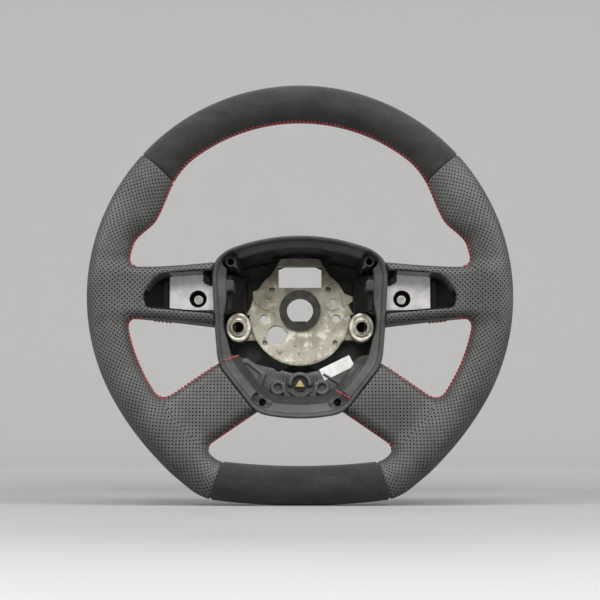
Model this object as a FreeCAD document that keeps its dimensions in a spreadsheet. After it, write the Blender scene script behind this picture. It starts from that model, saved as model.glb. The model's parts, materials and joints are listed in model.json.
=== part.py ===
"""Flat-bottom, four-spoke road-car steering wheel with its airbag and switches removed.

Frame: origin on the steering axis, at the rear face of the splined boss. +X right, +Z up, -Y to the driver.
"Lift" below is the distance from the boss's rear face towards the driver, so a point's Y is minus its lift.
"""
import FreeCAD, Part
import math
import os

import Sketcher
from FreeCAD import Placement, Rotation, Vector

doc = FreeCAD.newDocument("steering_wheel")
sheet = doc.addObject("Spreadsheet::Sheet", "Sizes")

SIZES = {
    # rim
    "rim_radius": 187.5,
    "rim_rise": 8.0,
    "rim_lift": 85.0,
    "grip_width": 34.0,
    "grip_depth": 30.0,
    "core_radius": 6.5,
    "skin": 1.4,
    "side_radius": 245.0,
    "corner_radius": 30.0,
    "bottom_radius": 600.0,
    "bottom_drop": 184.4,
    # hub casting and steel boss
    "plate_radius": 46.0,
    "plate_base": 8.0,
    "plate_top": 20.0,
    "boss_radius": 19.0,
    "boss_length": 24.0,
    "bore_radius": 12.2,
    "bore_flat": 10.4,
    "pilot_radius": 13.0,
    "pilot_depth": 10.0,
    # airbag sockets and their wire springs
    "socket_spacing": 113.0,
    "socket_drop": 17.0,
    "socket_half_width": 11.2,
    "socket_half_height": 13.6,
    "socket_top": 37.0,
    "socket_bore": 5.2,
    "wire_radius": 1.1,
    # bowl
    "bowl_front": 81.0,
    "bowl_back": -4.0,
    "bowl_wall": 3.0,
    "column_opening": 47.5,
    "trim_hole": 2.2,
    # switch pockets
    "pocket_floor": 61.0,
    "pocket_web": 4.0,
    "liner_wall": 1.2,
    "anchor_spacing": 183.0,
    "anchor_height": 6.0,
    "anchor_radius": 7.0,
}
for row, (alias, value) in enumerate(SIZES.items(), start=1):
    sheet.set(f"A{row}", alias)
    sheet.set(f"B{row}", str(value))
    sheet.setAlias(f"B{row}", alias)
doc.recompute()


def size(alias):
    """A driving dimension as a number."""
    return float(getattr(sheet, alias))


def bind(thing, setting, formula):
    """Tie one setting of an object to cells of the sheet; $ stands for the sheet's name."""
    thing.setExpression(setting, formula.replace("$", "Sizes."))


# ---------------------------------------------------------------- plane geometry

RIM_RISE = size("rim_rise")
RIM_LIFT = size("rim_lift")
LINE_RADIUS = size("rim_radius") - size("grip_width") / 2
SIDE_START = 210.0
TOP_SEAM = 41.5
DRIVER = Vector(0, -1, 0)
FAR = 400.0


def spot(across, up, lift):
    """A point given by its place in front view and its lift."""
    return Vector(across, -lift, up)


def polar(centre, radius, angle):
    """The front-view point at an angle (degrees from +X towards +Z) round a centre."""
    turn = math.radians(angle)
    return (centre[0] + radius * math.cos(turn), centre[1] + radius * math.sin(turn))


def arc(centre, radius, start, end, lift):
    """An arc in front view, between two angles."""
    places = [polar(centre, radius, start + (end - start) * part) for part in (0, 0.5, 1)]
    return Part.Arc(*[spot(across, up, lift) for across, up in places]).toShape()


def plate(outline, base, top):
    """A closed list of front-view points, raised from one lift to another."""
    corners = [spot(across, up, base) for across, up in outline]
    face = Part.Face(Part.makePolygon(corners + corners[:1]))
    return face.extrude(DRIVER * (top - base))


def disc(place, radius, base, top):
    """A round post or hole along the steering axis."""
    return Part.makeCylinder(radius, top - base, spot(place[0], place[1], base), DRIVER)


def slab(profile, angle, half_width):
    """A side profile (distance from the axis, lift), as wide as asked, turned to an angle in front view."""
    corners = [Vector(reach, -lift, -half_width) for reach, lift in profile]
    face = Part.Face(Part.makePolygon(corners + corners[:1]))
    solid = face.extrude(Vector(0, 0, 2 * half_width))
    solid.rotate(Vector(0, 0, 0), DRIVER, angle)
    return solid


def mirrored(shape):
    """The same shape on the other side of the wheel."""
    return shape.mirror(Vector(0, 0, 0), Vector(1, 0, 0))


def both(shape):
    return [shape, mirrored(shape)]


def flipped(outline):
    return [(-across, up) for across, up in outline]


def single(shape):
    """The one solid of a boolean's result."""
    solids = shape.Solids
    if len(solids) != 1:
        raise ValueError(f"{len(solids)} solids where one was expected")
    return solids[0]


def corner_centre(side_centre, bottom_centre):
    """Centre of the lower corner's arc, which touches the side arc and the bottom arc from inside."""
    to_side = size("side_radius") - size("corner_radius")
    to_bottom = size("bottom_radius") - size("corner_radius")
    across = bottom_centre[0] - side_centre[0]
    up = bottom_centre[1] - side_centre[1]
    gap = math.hypot(across, up)
    along = (to_side**2 - to_bottom**2 + gap**2) / (2 * gap)
    out = math.sqrt(to_side**2 - along**2)
    foot = (side_centre[0] + along * across / gap, side_centre[1] + along * up / gap)
    sides = [(foot[0] - out * up / gap * sign, foot[1] + out * across / gap * sign) for sign in (1, -1)]
    return min(sides, key=lambda place: place[1])


def rim_line(lift, offset=0.0):
    """The closed line through the middle of the grip: round top, slower sides, two corners, flat bottom."""
    middle = (0.0, RIM_RISE)
    side = polar(middle, LINE_RADIUS - size("side_radius"), SIDE_START)
    lowest = RIM_RISE - size("bottom_drop") + size("grip_width") / 2
    bottom = (0.0, lowest + size("bottom_radius"))
    corner = corner_centre(side, bottom)
    side_end = math.degrees(math.atan2(corner[1] - side[1], corner[0] - side[0])) % 360
    corner_end = math.degrees(math.atan2(corner[1] - bottom[1], corner[0] - bottom[0])) % 360
    right_side = (-side[0], side[1])
    right_corner = (-corner[0], corner[1])
    edges = [
        arc(middle, LINE_RADIUS + offset, 180 - SIDE_START, SIDE_START, lift),
        arc(side, size("side_radius") + offset, SIDE_START, side_end, lift),
        arc(corner, size("corner_radius") + offset, side_end, corner_end, lift),
        arc(bottom, size("bottom_radius") + offset, corner_end, 540 - corner_end, lift),
        arc(right_corner, size("corner_radius") + offset, 540 - corner_end, 540 - side_end, lift),
        arc(right_side, size("side_radius") + offset, 540 - side_end, 540 - SIDE_START, lift),
    ]
    return Part.Wire(edges)


def swept(line, section):
    """A closed section carried along a line as a solid."""
    sweep = Part.BRepOffsetAPI.MakePipeShell(line)
    sweep.setFrenetMode(True)
    sweep.add(section)
    sweep.build()
    sweep.makeSolid()
    return sweep.shape()


def grip_tube(inset):
    """The oval grip, swept round the whole rim line, smaller all over by an inset."""
    line = rim_line(RIM_LIFT)
    start = line.Vertexes[0].Point
    wide = size("grip_width") / 2 - inset
    deep = size("grip_depth") / 2 - inset
    outward = (start - spot(0, RIM_RISE, RIM_LIFT)).normalize()
    oval = Part.Ellipse(start + outward * wide, start + DRIVER * deep, start)
    return swept(line, Part.Wire(oval.toShape()))


# ---------------------------------------------------------------- the bowl and the spokes, as shared shapes

BOWL_FRONT = size("bowl_front")
BOWL_BACK = size("bowl_back")
BOWL_TAPER = (0.92, 0.88)
BOWL_MIDDLE = (0.0, -8.0)
BOWL_CORNERS = [(-70.0, 45.5), (-78.0, 34.0), (-76.5, -22.0), (-72.5, -54.0), (-39.0, -96.5)]
BOWL_TOP = 60.5
BOWL_BOTTOM = -101.5
PAD_ROUND = 8.0
POCKET = [(-137.0, 5.0), (-129.5, 25.0), (-70.0, 29.0), (-70.0, -8.6), (-134.0, -4.0)]
SIDE_SPOKE = [
    (-66.0, 37.4), (-140.0, 31.4), (-162.0, 40.0), (-162.0, -24.0), (-140.0, -13.8), (-66.0, -20.0),
]
LOW_SPOKE = [(-56.0, -40.0), (-127.0, -92.4), (-110.0, -126.0), (-88.0, -129.0), (-30.0, -90.0)]
LOW_ANGLE = 218.0


def bowl_wire(lift, shrink=0.0):
    """The bowl's front-view outline at a lift: the full size at its front and smaller towards its back."""
    front = (lift - BOWL_BACK) / (BOWL_FRONT - BOWL_BACK)
    wide = BOWL_TAPER[0] + (1 - BOWL_TAPER[0]) * front - shrink / abs(BOWL_CORNERS[1][0])
    high = BOWL_TAPER[1] + (1 - BOWL_TAPER[1]) * front - shrink / abs(BOWL_BOTTOM - BOWL_MIDDLE[1])

    def place(corner):
        across = BOWL_MIDDLE[0] + (corner[0] - BOWL_MIDDLE[0]) * wide
        up = BOWL_MIDDLE[1] + (corner[1] - BOWL_MIDDLE[1]) * high
        return spot(across, up, lift)

    left = [place(corner) for corner in BOWL_CORNERS]
    right = [place(corner) for corner in flipped(BOWL_CORNERS)]
    bottom = Part.Arc(left[-1], place((0, BOWL_BOTTOM)), right[-1]).toShape()
    top = Part.Arc(right[0], place((0, BOWL_TOP)), left[0]).toShape()
    sides = [Part.makeLine(a, b) for a, b in zip(left, left[1:])]
    climbs = [Part.makeLine(a, b) for a, b in zip(right[::-1], right[-2::-1])]
    return Part.Wire(sides + [bottom] + climbs + [top])


TRIM_BASE = 76.0
LIP_WIDTH = 5.0
THREAD_RADIUS = 0.55
THREAD_OFFSET = 0.65


def bowl_solid(base, top, shrink=0.0):
    return Part.makeLoft([bowl_wire(base, shrink), bowl_wire(top, shrink)], True, True)


def rounded(solid, radius, lines):
    """Round the edges of a solid that lie along any of these front-view lines."""
    picked = []
    for edge in solid.Edges:
        ends = [(vertex.Point.x, vertex.Point.z) for vertex in edge.Vertexes]
        for line in lines:
            if len(ends) == 2 and all(distance(end, line) < 0.01 for end in ends) and ends[0] != ends[1]:
                picked.append(edge)
    return solid.makeFillet(radius, picked)


def distance(place, line):
    """How far a front-view point lies from the line through two others."""
    (ax, az), (bx, bz) = line
    return abs((bx - ax) * (place[1] - az) - (bz - az) * (place[0] - ax)) / math.hypot(bx - ax, bz - az)


def drawn_in(outline, inset):
    """A front-view outline, moved in all round."""
    if not inset:
        return outline
    corners = [spot(across, up, 0) for across, up in outline]
    wire = Part.makePolygon(corners + corners[:1]).makeOffset2D(-inset)
    return [(vertex.Point.x, vertex.Point.z) for vertex in wire.OrderedVertexes]


def spoke_pad(outline, angle, back, front, inset):
    """One padded spoke: its front view, cut to straight front and back faces, its four long edges round."""
    outline = drawn_in(outline, inset)
    rear = [(reach, lift + inset) for reach, lift in back]
    faces = rear + [(reach, lift - inset) for reach, lift in front[::-1]]
    pad = single(plate(outline, 10, 120).common(slab(faces, angle, 80)))
    edges = [(outline[0], outline[1]), (outline[-1], outline[-2])]
    heel = [(back[1][0] - 40, back[1][1] - 13 + inset), (back[1][0] + 20, RIM_LIFT), (back[1][0] + 20, 10),
            (back[1][0] - 40, 10)]
    return single(rounded(pad, PAD_ROUND - inset, edges).cut(slab(heel, angle, 80)))


def spoke_pads(inset):
    """The padded outsides of the left pair of spokes, before the bowl is taken out of them."""
    side = spoke_pad(SIDE_SPOKE, 180, [(60, 36), (168, 67)], [(60, 84), (168, 97)], inset)
    low = spoke_pad(LOW_SPOKE, LOW_ANGLE, [(40, 14), (182, 72)], [(40, 80), (182, 98)], inset)
    return [side, low]


def thumb_rest(inset):
    """The swelling inside the rim above the left spoke, where a thumb rests."""
    across, up = polar((0, RIM_RISE), LINE_RADIUS - 13.0, 150.0)
    ball = Part.makeSphere(1.0)
    stretch = FreeCAD.Matrix()
    stretch.scale(14.5 - inset, 13.0 - inset, 24.0 - inset)
    ball = ball.transformGeometry(stretch)
    ball.rotate(Vector(0, 0, 0), DRIVER, 150.0)
    ball.translate(spot(across, up, RIM_LIFT))
    return ball


# ---------------------------------------------------------------- sub-parts made from shared shapes

def sub_part(label, shape):
    """A named sub-part holding a finished solid."""
    thing = doc.addObject("Part::Feature", label)
    thing.Shape = shape
    thing.Placement = Placement()
    thing.Label = label
    nodes.append(thing)
    return thing


nodes = []

PLATE_BASE = size("plate_base")
PLATE_TOP = size("plate_top")
SOCKET = (size("socket_spacing") / 2, -size("socket_drop"))
ANCHOR = (size("anchor_spacing") / 2, size("anchor_height"))
STOP = (ANCHOR[0] - 8.2, ANCHOR[1] + 16.8)
SOCKET_BASE = 14.0
SOCKET_STEP = 1.6
WIRE_REST = 3.2
WIRE_TRAVEL = 3.0
FLOOR = size("pocket_floor")
WEB = size("pocket_web")
ARM_HALF_WIDTH = 16.0
ARM_RISE = 12.0
LOW_ARM_HALF_WIDTH = 11.0
LOW_ARM_SHIFT = 24.0
THROUGH_HOLES = (33.6, -7.3)
PILOT_HOLES = [(26.0, 19.5), (32.5, -30.0)]
ROUND_PADS = (30.2, 8.5)
TRAY_BASE = 46.0
TRAY_TOP = 50.0
TRAY_POSTS = (33.2, -87.0)
TRAY_PADS = (20.0, -73.2)
SHOULDER_POSTS = (62.0, 38.6)
CONTACT = (0.0, -70.0)


WINDOW = [(-20.0, 21.3), (20.0, 21.3), (20.0, 42.0), (-20.0, 42.0)]
ABOVE_PLATE = 30.0


def side_arm(gap=0.0):
    """The left arm: up from the hub plate, level under the switch pocket, then up into the rim core."""
    low = [(36, 9 - gap), (52, 9 - gap), (80, FLOOR - WEB - gap), (124, FLOOR - WEB - gap), (172, 81)]
    high = [(172, 88), (166, 88), (120, FLOOR), (76, FLOOR), (48, 19 + gap), (36, 19 + gap)]
    arm = slab(low + high, 180, ARM_HALF_WIDTH + gap)
    arm.translate(Vector(0, 0, ARM_RISE))
    return arm


def low_arm(gap=0.0):
    """The lower left arm, one straight climb from the hub plate to the rim core."""
    low = [(28, 9 - gap), (50, 9 - gap), (80, 38 - gap), (104, 55 - gap), (163, 82)]
    high = [(163, 88), (104, 62 + gap), (78, 45 + gap), (51, 19 + gap), (28, 19 + gap)]
    arm = slab(low + high, LOW_ANGLE, LOW_ARM_HALF_WIDTH + gap)
    shift = polar((0, 0), LOW_ARM_SHIFT, LOW_ANGLE + 90)
    arm.translate(Vector(shift[0], 0, shift[1]))
    return arm


def anchor_cup():
    """The blind cup under the hole in the pocket floor, with the screw's seat at its bottom."""
    place = (-ANCHOR[0], ANCHOR[1])
    return disc(place, size("anchor_radius") + 2.2, FLOOR - 13, FLOOR - WEB)


def socket_ear(gap=0.0):
    """The lug beside the hub plate that an airbag socket stands on."""
    place = (-SOCKET[0], SOCKET[1])
    reach = size("socket_half_width") - 1 + gap
    bridge = [(-36, SOCKET[1] - reach), (-36, SOCKET[1] + reach), (place[0], place[1] + reach),
              (place[0], place[1] - reach)]
    return disc(place, reach, PLATE_BASE, SOCKET_BASE).fuse(plate(bridge, PLATE_BASE, SOCKET_BASE))


def hub_plate():
    """The cast plate: a round lower half, a sloping top, and everything cut through it or raised on it."""
    shoulder = [(-41.5, 15.0), (-23.5, 48.5), (23.5, 48.5), (41.5, 15.0)]
    ends = [spot(across, up, PLATE_BASE) for across, up in shoulder]
    lowest = spot(0, -5.0 - size("plate_radius"), PLATE_BASE)
    low = Part.Arc(ends[-1], lowest, ends[0]).toShape()
    sides = [Part.makeLine(a, b) for a, b in zip(ends, ends[1:])]
    solid = Part.Face(Part.Wire(sides + [low])).extrude(DRIVER * (PLATE_TOP - PLATE_BASE))
    ridge = disc((0, -5), size("plate_radius") - 1.2, PLATE_TOP, PLATE_TOP + 0.8)
    ridge = ridge.cut(disc((0, -5), size("plate_radius") - 2.6, PLATE_TOP, PLATE_TOP + 0.8))
    ridge = ridge.common(plate([(-60, -60), (60, -60), (60, -8), (-60, -8)], PLATE_TOP, PLATE_TOP + 1))
    tab = plate([(-50, 8.5), (-50, 20.0), (-36, 20.0), (-36, 8.5)], 12, PLATE_TOP - 2)
    spur = plate([(40, 17), (43, 12.5), (53, 11.0), (44, 6.0), (40, 2)], 12, PLATE_TOP - 1)
    pads = both(disc(ROUND_PADS, 8.3, PLATE_TOP, PLATE_TOP + 1.2))
    solid = solid.fuse([ridge, tab, spur] + pads)
    window = rounded_uprights(plate(WINDOW, 0, ABOVE_PLATE), 3.0)
    point = plate([(-17, -14.6), (-11, -21.5), (-14, -31), (-22, -30)], 0, ABOVE_PLATE)
    drop = disc((-21.8, -22.4), 8.8, 0, ABOVE_PLATE).fuse(point)
    dimples = both(disc(ROUND_PADS, 3.4, PLATE_TOP - 0.5, ABOVE_PLATE))
    blind = [hole for place in PILOT_HOLES for hole in both(disc(place, 2.6, PLATE_TOP - 6, ABOVE_PLATE))]
    through = both(disc(THROUGH_HOLES, 3.8, 0, ABOVE_PLATE))
    seat = disc((0, 0), size("boss_radius"), 0, ABOVE_PLATE)
    return solid.cut([window, drop, seat] + dimples + blind + through)


def rounded_uprights(solid, radius):
    """Round the edges of a solid that run along the steering axis."""
    picked = []
    for edge in solid.Edges:
        run = edge.Vertexes[-1].Point - edge.Vertexes[0].Point
        if abs(run.x) < 1e-6 and abs(run.z) < 1e-6:
            picked.append(edge)
    return solid.makeFillet(radius, picked)


def fitting_rooms():
    """Room for the anchor screws, the rubber stops and the foot of each airbag socket."""
    rooms = both(disc((-ANCHOR[0], ANCHOR[1]), size("anchor_radius"), FLOOR - 10, FLOOR + 1))
    rooms += both(disc((-ANCHOR[0], ANCHOR[1]), 1.9, FLOOR - 14, FLOOR))
    rooms += both(disc((-STOP[0], STOP[1]), 3.6, FLOOR - 3, FLOOR + 10))
    foot = spot(-SOCKET[0], SOCKET[1], SOCKET_BASE)
    upright = foot + Vector(0, 0, size("socket_half_height"))
    level = foot + Vector(size("socket_half_width"), 0, 0)
    face = Part.Face(Part.Wire(Part.Ellipse(upright, level, foot).toShape()))
    return rooms + both(face.extrude(DRIVER * 30))


def hub_casting(core):
    """Hub plate, four arms, socket lugs and anchor cups in one casting, fitted round the rim core."""
    arms = both(side_arm()) + both(low_arm()) + both(socket_ear()) + both(anchor_cup())
    middle = disc((0, 0), 40, 0, ABOVE_PLATE)
    arms = [arm.cut(middle) for arm in arms]
    solid = hub_plate().fuse(arms)
    window = plate(WINDOW, 0, ABOVE_PLATE)
    corner = [(-87.0, 21.5), (-87.0, 40.0), (-70.0, 40.0), (-70.0, 17.5), (-80.5, 17.5)]
    notches = both(plate(corner, FLOOR - 3, FLOOR + 1))
    return single(solid.cut([window, core] + notches + fitting_rooms()).removeSplitter())


def rim_core():
    """The steel tube's outline inside the grip, as a solid bar round the whole rim."""
    line = rim_line(RIM_LIFT)
    start = line.Vertexes[0].Point
    tangent = DRIVER.cross(start - spot(0, RIM_RISE, RIM_LIFT))
    return swept(line, Part.Wire(Part.makeCircle(size("core_radius"), start, tangent)))


def envelope(inset):
    """Rim, four spokes and two thumb rests as one solid, smaller all over by an inset."""
    pads = [pad for left in spoke_pads(inset) for pad in both(left)]
    return grip_tube(inset).fuse(pads + both(thumb_rest(inset)))


def pocket(grow, base, top):
    """The left switch pocket's room, larger all round by a wall."""
    outline = drawn_in(POCKET, -grow) if grow else POCKET
    return plate(outline, base, top)


def padding(core, casting):
    """The moulded foam under the wraps, and the skin that the wraps share."""
    outside = envelope(0)
    inside = envelope(size("skin"))
    bowl = bowl_solid(BOWL_BACK - 1, BOWL_FRONT + 30)
    rooms = both(pocket(size("liner_wall"), FLOOR, 120))
    skin = single(outside.cut(inside).cut([bowl] + rooms).cut(casting))
    foam = single(inside.cut([bowl] + rooms + fitting_rooms()).cut(core).cut(casting))
    return foam, skin


def wedge():
    """The front-view region of the top wrap, between the two upper seams."""
    right = polar((0, RIM_RISE), FAR, TOP_SEAM)
    return plate([(0, RIM_RISE), right, (0, FAR), (-right[0], right[1])], 20, 140)


def toe():
    """The front-view region of the bottom wrap, between the two lower seams."""
    return plate([(-64.5, -132.0), (64.5, -132.0), (82.0, -186.0), (-82.0, -186.0)], 20, 140)


def wraps(skin):
    """The skin cut at its four seams."""
    top = single(skin.common(wedge()))
    bottom = single(skin.common(toe()))
    sides = skin.cut([wedge(), toe()]).Solids
    if len(sides) != 2:
        raise ValueError(f"{len(sides)} side wraps")
    left, right = sorted(sides, key=lambda solid: solid.CenterOfMass.x)
    return top, bottom, left, right


def rear_cover(arms):
    """The bowl behind the hub: tapering wall, floor with the column opening, screw posts, arm slots."""
    wall = size("bowl_wall")
    outside = bowl_solid(BOWL_BACK, TRIM_BASE)
    inside = bowl_solid(BOWL_BACK + wall, TRIM_BASE, wall)
    opening = disc((0, 0), size("column_opening"), BOWL_BACK - 1, BOWL_FRONT)
    low_posts = both(disc((-TRAY_POSTS[0], TRAY_POSTS[1]), 5.5, BOWL_BACK + 1, TRAY_BASE))
    high_posts = both(disc((-SHOULDER_POSTS[0], SHOULDER_POSTS[1]), 6.4, BOWL_BACK + 1, TRIM_BASE - 8))
    ear_posts = both(disc((-SOCKET[0], SOCKET[1]), 5.0, BOWL_BACK + 1, PLATE_BASE))
    posts = [post.common(outside) for post in low_posts + high_posts + ear_posts]
    solid = outside.cut(inside).fuse(posts).cut([opening] + arms)
    holes = both(disc(SHOULDER_POSTS, size("trim_hole"), TRIM_BASE - 24, BOWL_FRONT))
    holes += both(disc(TRAY_POSTS, size("trim_hole"), TRAY_BASE - 16, BOWL_FRONT))
    holes += both(disc(SOCKET, 1.7, BOWL_BACK - 1, PLATE_BASE + 1))
    holes += both(disc(SOCKET, 3.6, BOWL_BACK - 1, BOWL_BACK + 2.2))
    return biggest(solid.cut(holes))


def biggest(shape):
    """The main solid of a boolean that also leaves loose crumbs."""
    return max(shape.Solids, key=lambda solid: solid.Volume)


def bowl_trim():
    """The thick front lip of the bowl."""
    lip = bowl_solid(TRIM_BASE, BOWL_FRONT).cut(bowl_solid(TRIM_BASE - 1, BOWL_FRONT + 1, LIP_WIDTH))
    eyes = both(disc((-SHOULDER_POSTS[0], SHOULDER_POSTS[1]), 8.0, TRIM_BASE - 8, BOWL_FRONT + 1))
    return single(lip.cut(eyes))


def lower_tray():
    """The ribbed plate across the bottom of the bowl, with its round pads, screw eyes and arc ribs."""
    room = bowl_solid(BOWL_BACK + 3, TRIM_BASE, size("bowl_wall") + 0.3)
    panel = plate([(-80, -38), (80, -38), (80, -110), (-80, -110)], TRAY_BASE, TRAY_TOP)
    ring_room = disc((0, -2), 53.0, 0, 90)
    step_room = plate([(-45, -30), (45, -30), (45, -44), (-45, -44)], 40, 90)
    base = panel.common(room).cut([ring_room, step_room])
    pads = both(disc(TRAY_PADS, 6.6, TRAY_TOP, TRAY_TOP + 3))
    eyes = both(disc(TRAY_POSTS, 6.0, TRAY_TOP, TRAY_TOP + 14))
    ribs = []
    for radius in (11.0, 15.0, 19.0):
        outer = disc(CONTACT, radius + 0.7, TRAY_TOP, TRAY_TOP + 2.5)
        inner = disc(CONTACT, radius - 0.7, TRAY_TOP, TRAY_TOP + 10)
        below = plate([(-12, -80), (12, -80), (12, -92), (-12, -92)], TRAY_TOP, TRAY_TOP + 10)
        ribs.append(outer.cut(inner).common(below))
    walls = both(plate([(12.6, -95), (14.2, -95), (14.2, -64), (12.6, -64)], TRAY_TOP, TRAY_TOP + 9))
    brace = [(-28.0, -66.0), (-50.0, -45.0), (-51.2, -46.3), (-29.2, -67.3)]
    walls.append(plate(brace, TRAY_TOP, TRAY_TOP + 6))
    walls.append(plate([(-14, -93.0), (14, -93.0), (14, -94.6), (-14, -94.6)], TRAY_TOP, TRAY_TOP + 9))
    extras = [piece.common(room) for piece in pads + eyes + walls + ribs]
    holes = both(disc(TRAY_PADS, 3.6, TRAY_TOP + 1, 90)) + both(disc(TRAY_POSTS, size("trim_hole"), 0, 90))
    holes += [disc((-22.5, -57.5), 3.4, 0, 90), disc(CONTACT, 2.6, 0, 90)]
    return biggest(base.fuse(extras).cut(holes + both(low_arm(0.8))))


def pocket_liner(casting):
    """The thin glossy wall round the left switch pocket, with a floor outboard of the cast plate."""
    wall = size("liner_wall")
    shell = pocket(wall, FLOOR, 92).cut(pocket(0, FLOOR - 1, 100))
    outboard = plate([(-150, -20), (-118, -20), (-118, 40), (-150, 40)], 50, 80)
    floor = pocket(0, FLOOR, FLOOR + wall).common(outboard)
    face = slab([(60, 40), (60, 82.6), (166, 95.6), (166, 40)], 180, 80)
    return single(shell.fuse(floor).common(face).cut([bowl_solid(BOWL_BACK - 1, BOWL_FRONT + 30), casting]))


def arm_shroud(arm):
    """The moulded cover over the left arm between the hub plate and the bowl's wall."""
    outside = slab([(50, 12), (80, 52), (80, 68), (74, 68), (49, 29)], 180, ARM_HALF_WIDTH + 3)
    outside.translate(Vector(0, 0, ARM_RISE))
    room = bowl_solid(BOWL_BACK + 3, TRIM_BASE, size("bowl_wall") + 0.3)
    clear = [arm, hub_clear(), disc((-SHOULDER_POSTS[0], SHOULDER_POSTS[1]), 7.0, 0, 90)]
    clear.append(disc((-SOCKET[0], SOCKET[1]), 15.0, 0, 90))
    return biggest(outside.common(room).cut(clear))


def hub_clear():
    """The room that the hub plate takes, with a small gap."""
    return disc((0, -5), size("plate_radius") + 4.5, 0, 60)


LABEL_CENTRE = (33.2, -55.1)
LABEL_LENGTH = 30.0
LABEL_WIDTH = 11.0
LABEL_TURN = 26.0
LABEL_THICKNESS = 0.3


def part_label():
    """The small blank paper label stuck on the lower tray, turned a little."""
    reach = math.hypot(LABEL_LENGTH, LABEL_WIDTH) / 2
    lean = math.degrees(math.atan2(LABEL_WIDTH, LABEL_LENGTH))
    turns = [lean, 180 - lean, 180 + lean, -lean]
    corners = [polar(LABEL_CENTRE, reach, LABEL_TURN + turn) for turn in turns]
    return plate(corners, TRAY_TOP, TRAY_TOP + LABEL_THICKNESS)


def top_thread():
    """A fine thread laid along the inner edge of the grip, under the top wrap."""
    reach = LINE_RADIUS - size("grip_width") / 2 - THREAD_OFFSET
    line = arc((0.0, RIM_RISE), reach, TOP_SEAM + 1, 179 - TOP_SEAM, RIM_LIFT)
    origin = line.valueAt(line.FirstParameter)
    ring = Part.Wire(Part.makeCircle(THREAD_RADIUS, origin, line.tangentAt(line.FirstParameter)))
    return swept(Part.Wire(line), ring)


# ---------------------------------------------------------------- sub-parts made from sketches and features

def new_body(label):
    body = doc.addObject("PartDesign::Body", label)
    body.Label = label
    nodes.append(body)
    return body


def front_sketch(body, name, lift):
    """A sketch in front view (x right, y up) at a lift given as a formula."""
    sketch = body.newObject("Sketcher::SketchObject", name)
    planes = [plane for plane in body.Origin.OriginFeatures if plane.Role == "XZ_Plane"]
    sketch.AttachmentSupport = [(planes[0], "")]
    sketch.MapMode = "FlatFace"
    bind(sketch, "AttachmentOffset.Base.z", lift)
    return sketch


def ring(sketch, radius, across=0.0, up=0.0):
    """A circle in a sketch whose radius is a formula."""
    index = sketch.addGeometry(Part.Circle(Vector(across, up, 0), Vector(0, 0, 1), 1.0))
    rule = sketch.addConstraint(Sketcher.Constraint("Radius", index, 1.0))
    bind(sketch, f"Constraints[{rule}]", radius)


def outline(sketch, corners):
    """A closed run of straight lines in a sketch."""
    for (ax, ay), (bx, by) in zip(corners, corners[1:] + corners[:1]):
        sketch.addGeometry(Part.LineSegment(Vector(ax, ay, 0), Vector(bx, by, 0)))


def oval(sketch, wide, high):
    """An upright or lying ellipse in a sketch, about its origin."""
    centre = Vector(0, 0, 0)
    ends = sorted([Vector(wide, 0, 0), Vector(0, high, 0)], key=lambda end: -end.Length)
    sketch.addGeometry(Part.Ellipse(ends[0], ends[1], centre))


def pad(body, name, sketch, length):
    feature = body.newObject("PartDesign::Pad", name)
    feature.Profile = sketch
    bind(feature, "Length", length)
    return feature


def cut(body, name, sketch, length, to_driver=False):
    """A pocket that runs away from the driver, or towards the driver; it has to remove something."""
    doc.recompute()
    before = body.Shape.Volume
    feature = body.newObject("PartDesign::Pocket", name)
    feature.Profile = sketch
    feature.Reversed = to_driver
    bind(feature, "Length", length)
    doc.recompute()
    if not body.Shape.Volume < before - 1e-3:
        raise ValueError(f"{name} cuts nothing")
    return feature


def splined_boss():
    """The steel insert: plain pilot bore at the back, then a notched bore with one flat."""
    body = new_body("splined_boss")
    base = front_sketch(body, "BossRound", "0")
    ring(base, "$boss_radius")
    pad(body, "BossPad", base, "$boss_length")
    bore = front_sketch(body, "BossBore", "$boss_length")
    radius = size("bore_radius")
    drop = math.degrees(math.asin(size("bore_flat") / radius))
    start, end = math.radians(-drop), math.radians(180 + drop)
    circle = Part.Circle(Vector(0, 0, 0), Vector(0, 0, 1), radius)
    bore.addGeometry(Part.ArcOfCircle(circle, start, end))
    ends = [Vector(side * radius * math.cos(start), -size("bore_flat"), 0) for side in (-1, 1)]
    bore.addGeometry(Part.LineSegment(*ends))
    cut(body, "BorePocket", bore, "$boss_length")
    pilot = front_sketch(body, "BossPilot", "0")
    ring(pilot, "$pilot_radius")
    cut(body, "PilotPocket", pilot, "$pilot_depth", to_driver=True)
    notch = front_sketch(body, "BossNotch", "$boss_length")
    tooth = [(-0.5, radius - 0.4), (-0.3, radius + 0.75), (0.3, radius + 0.75), (0.5, radius - 0.4)]
    outline(notch, tooth)
    notch_cut = cut(body, "NotchPocket", notch, "$boss_length - $pilot_depth")
    pattern = body.newObject("PartDesign::PolarPattern", "Notches")
    pattern.Originals = [notch_cut]
    pattern.Axis = (notch, ["N_Axis"])
    pattern.Angle = 360.0
    pattern.Occurrences = 40
    body.Tip = pattern
    return body


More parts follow.
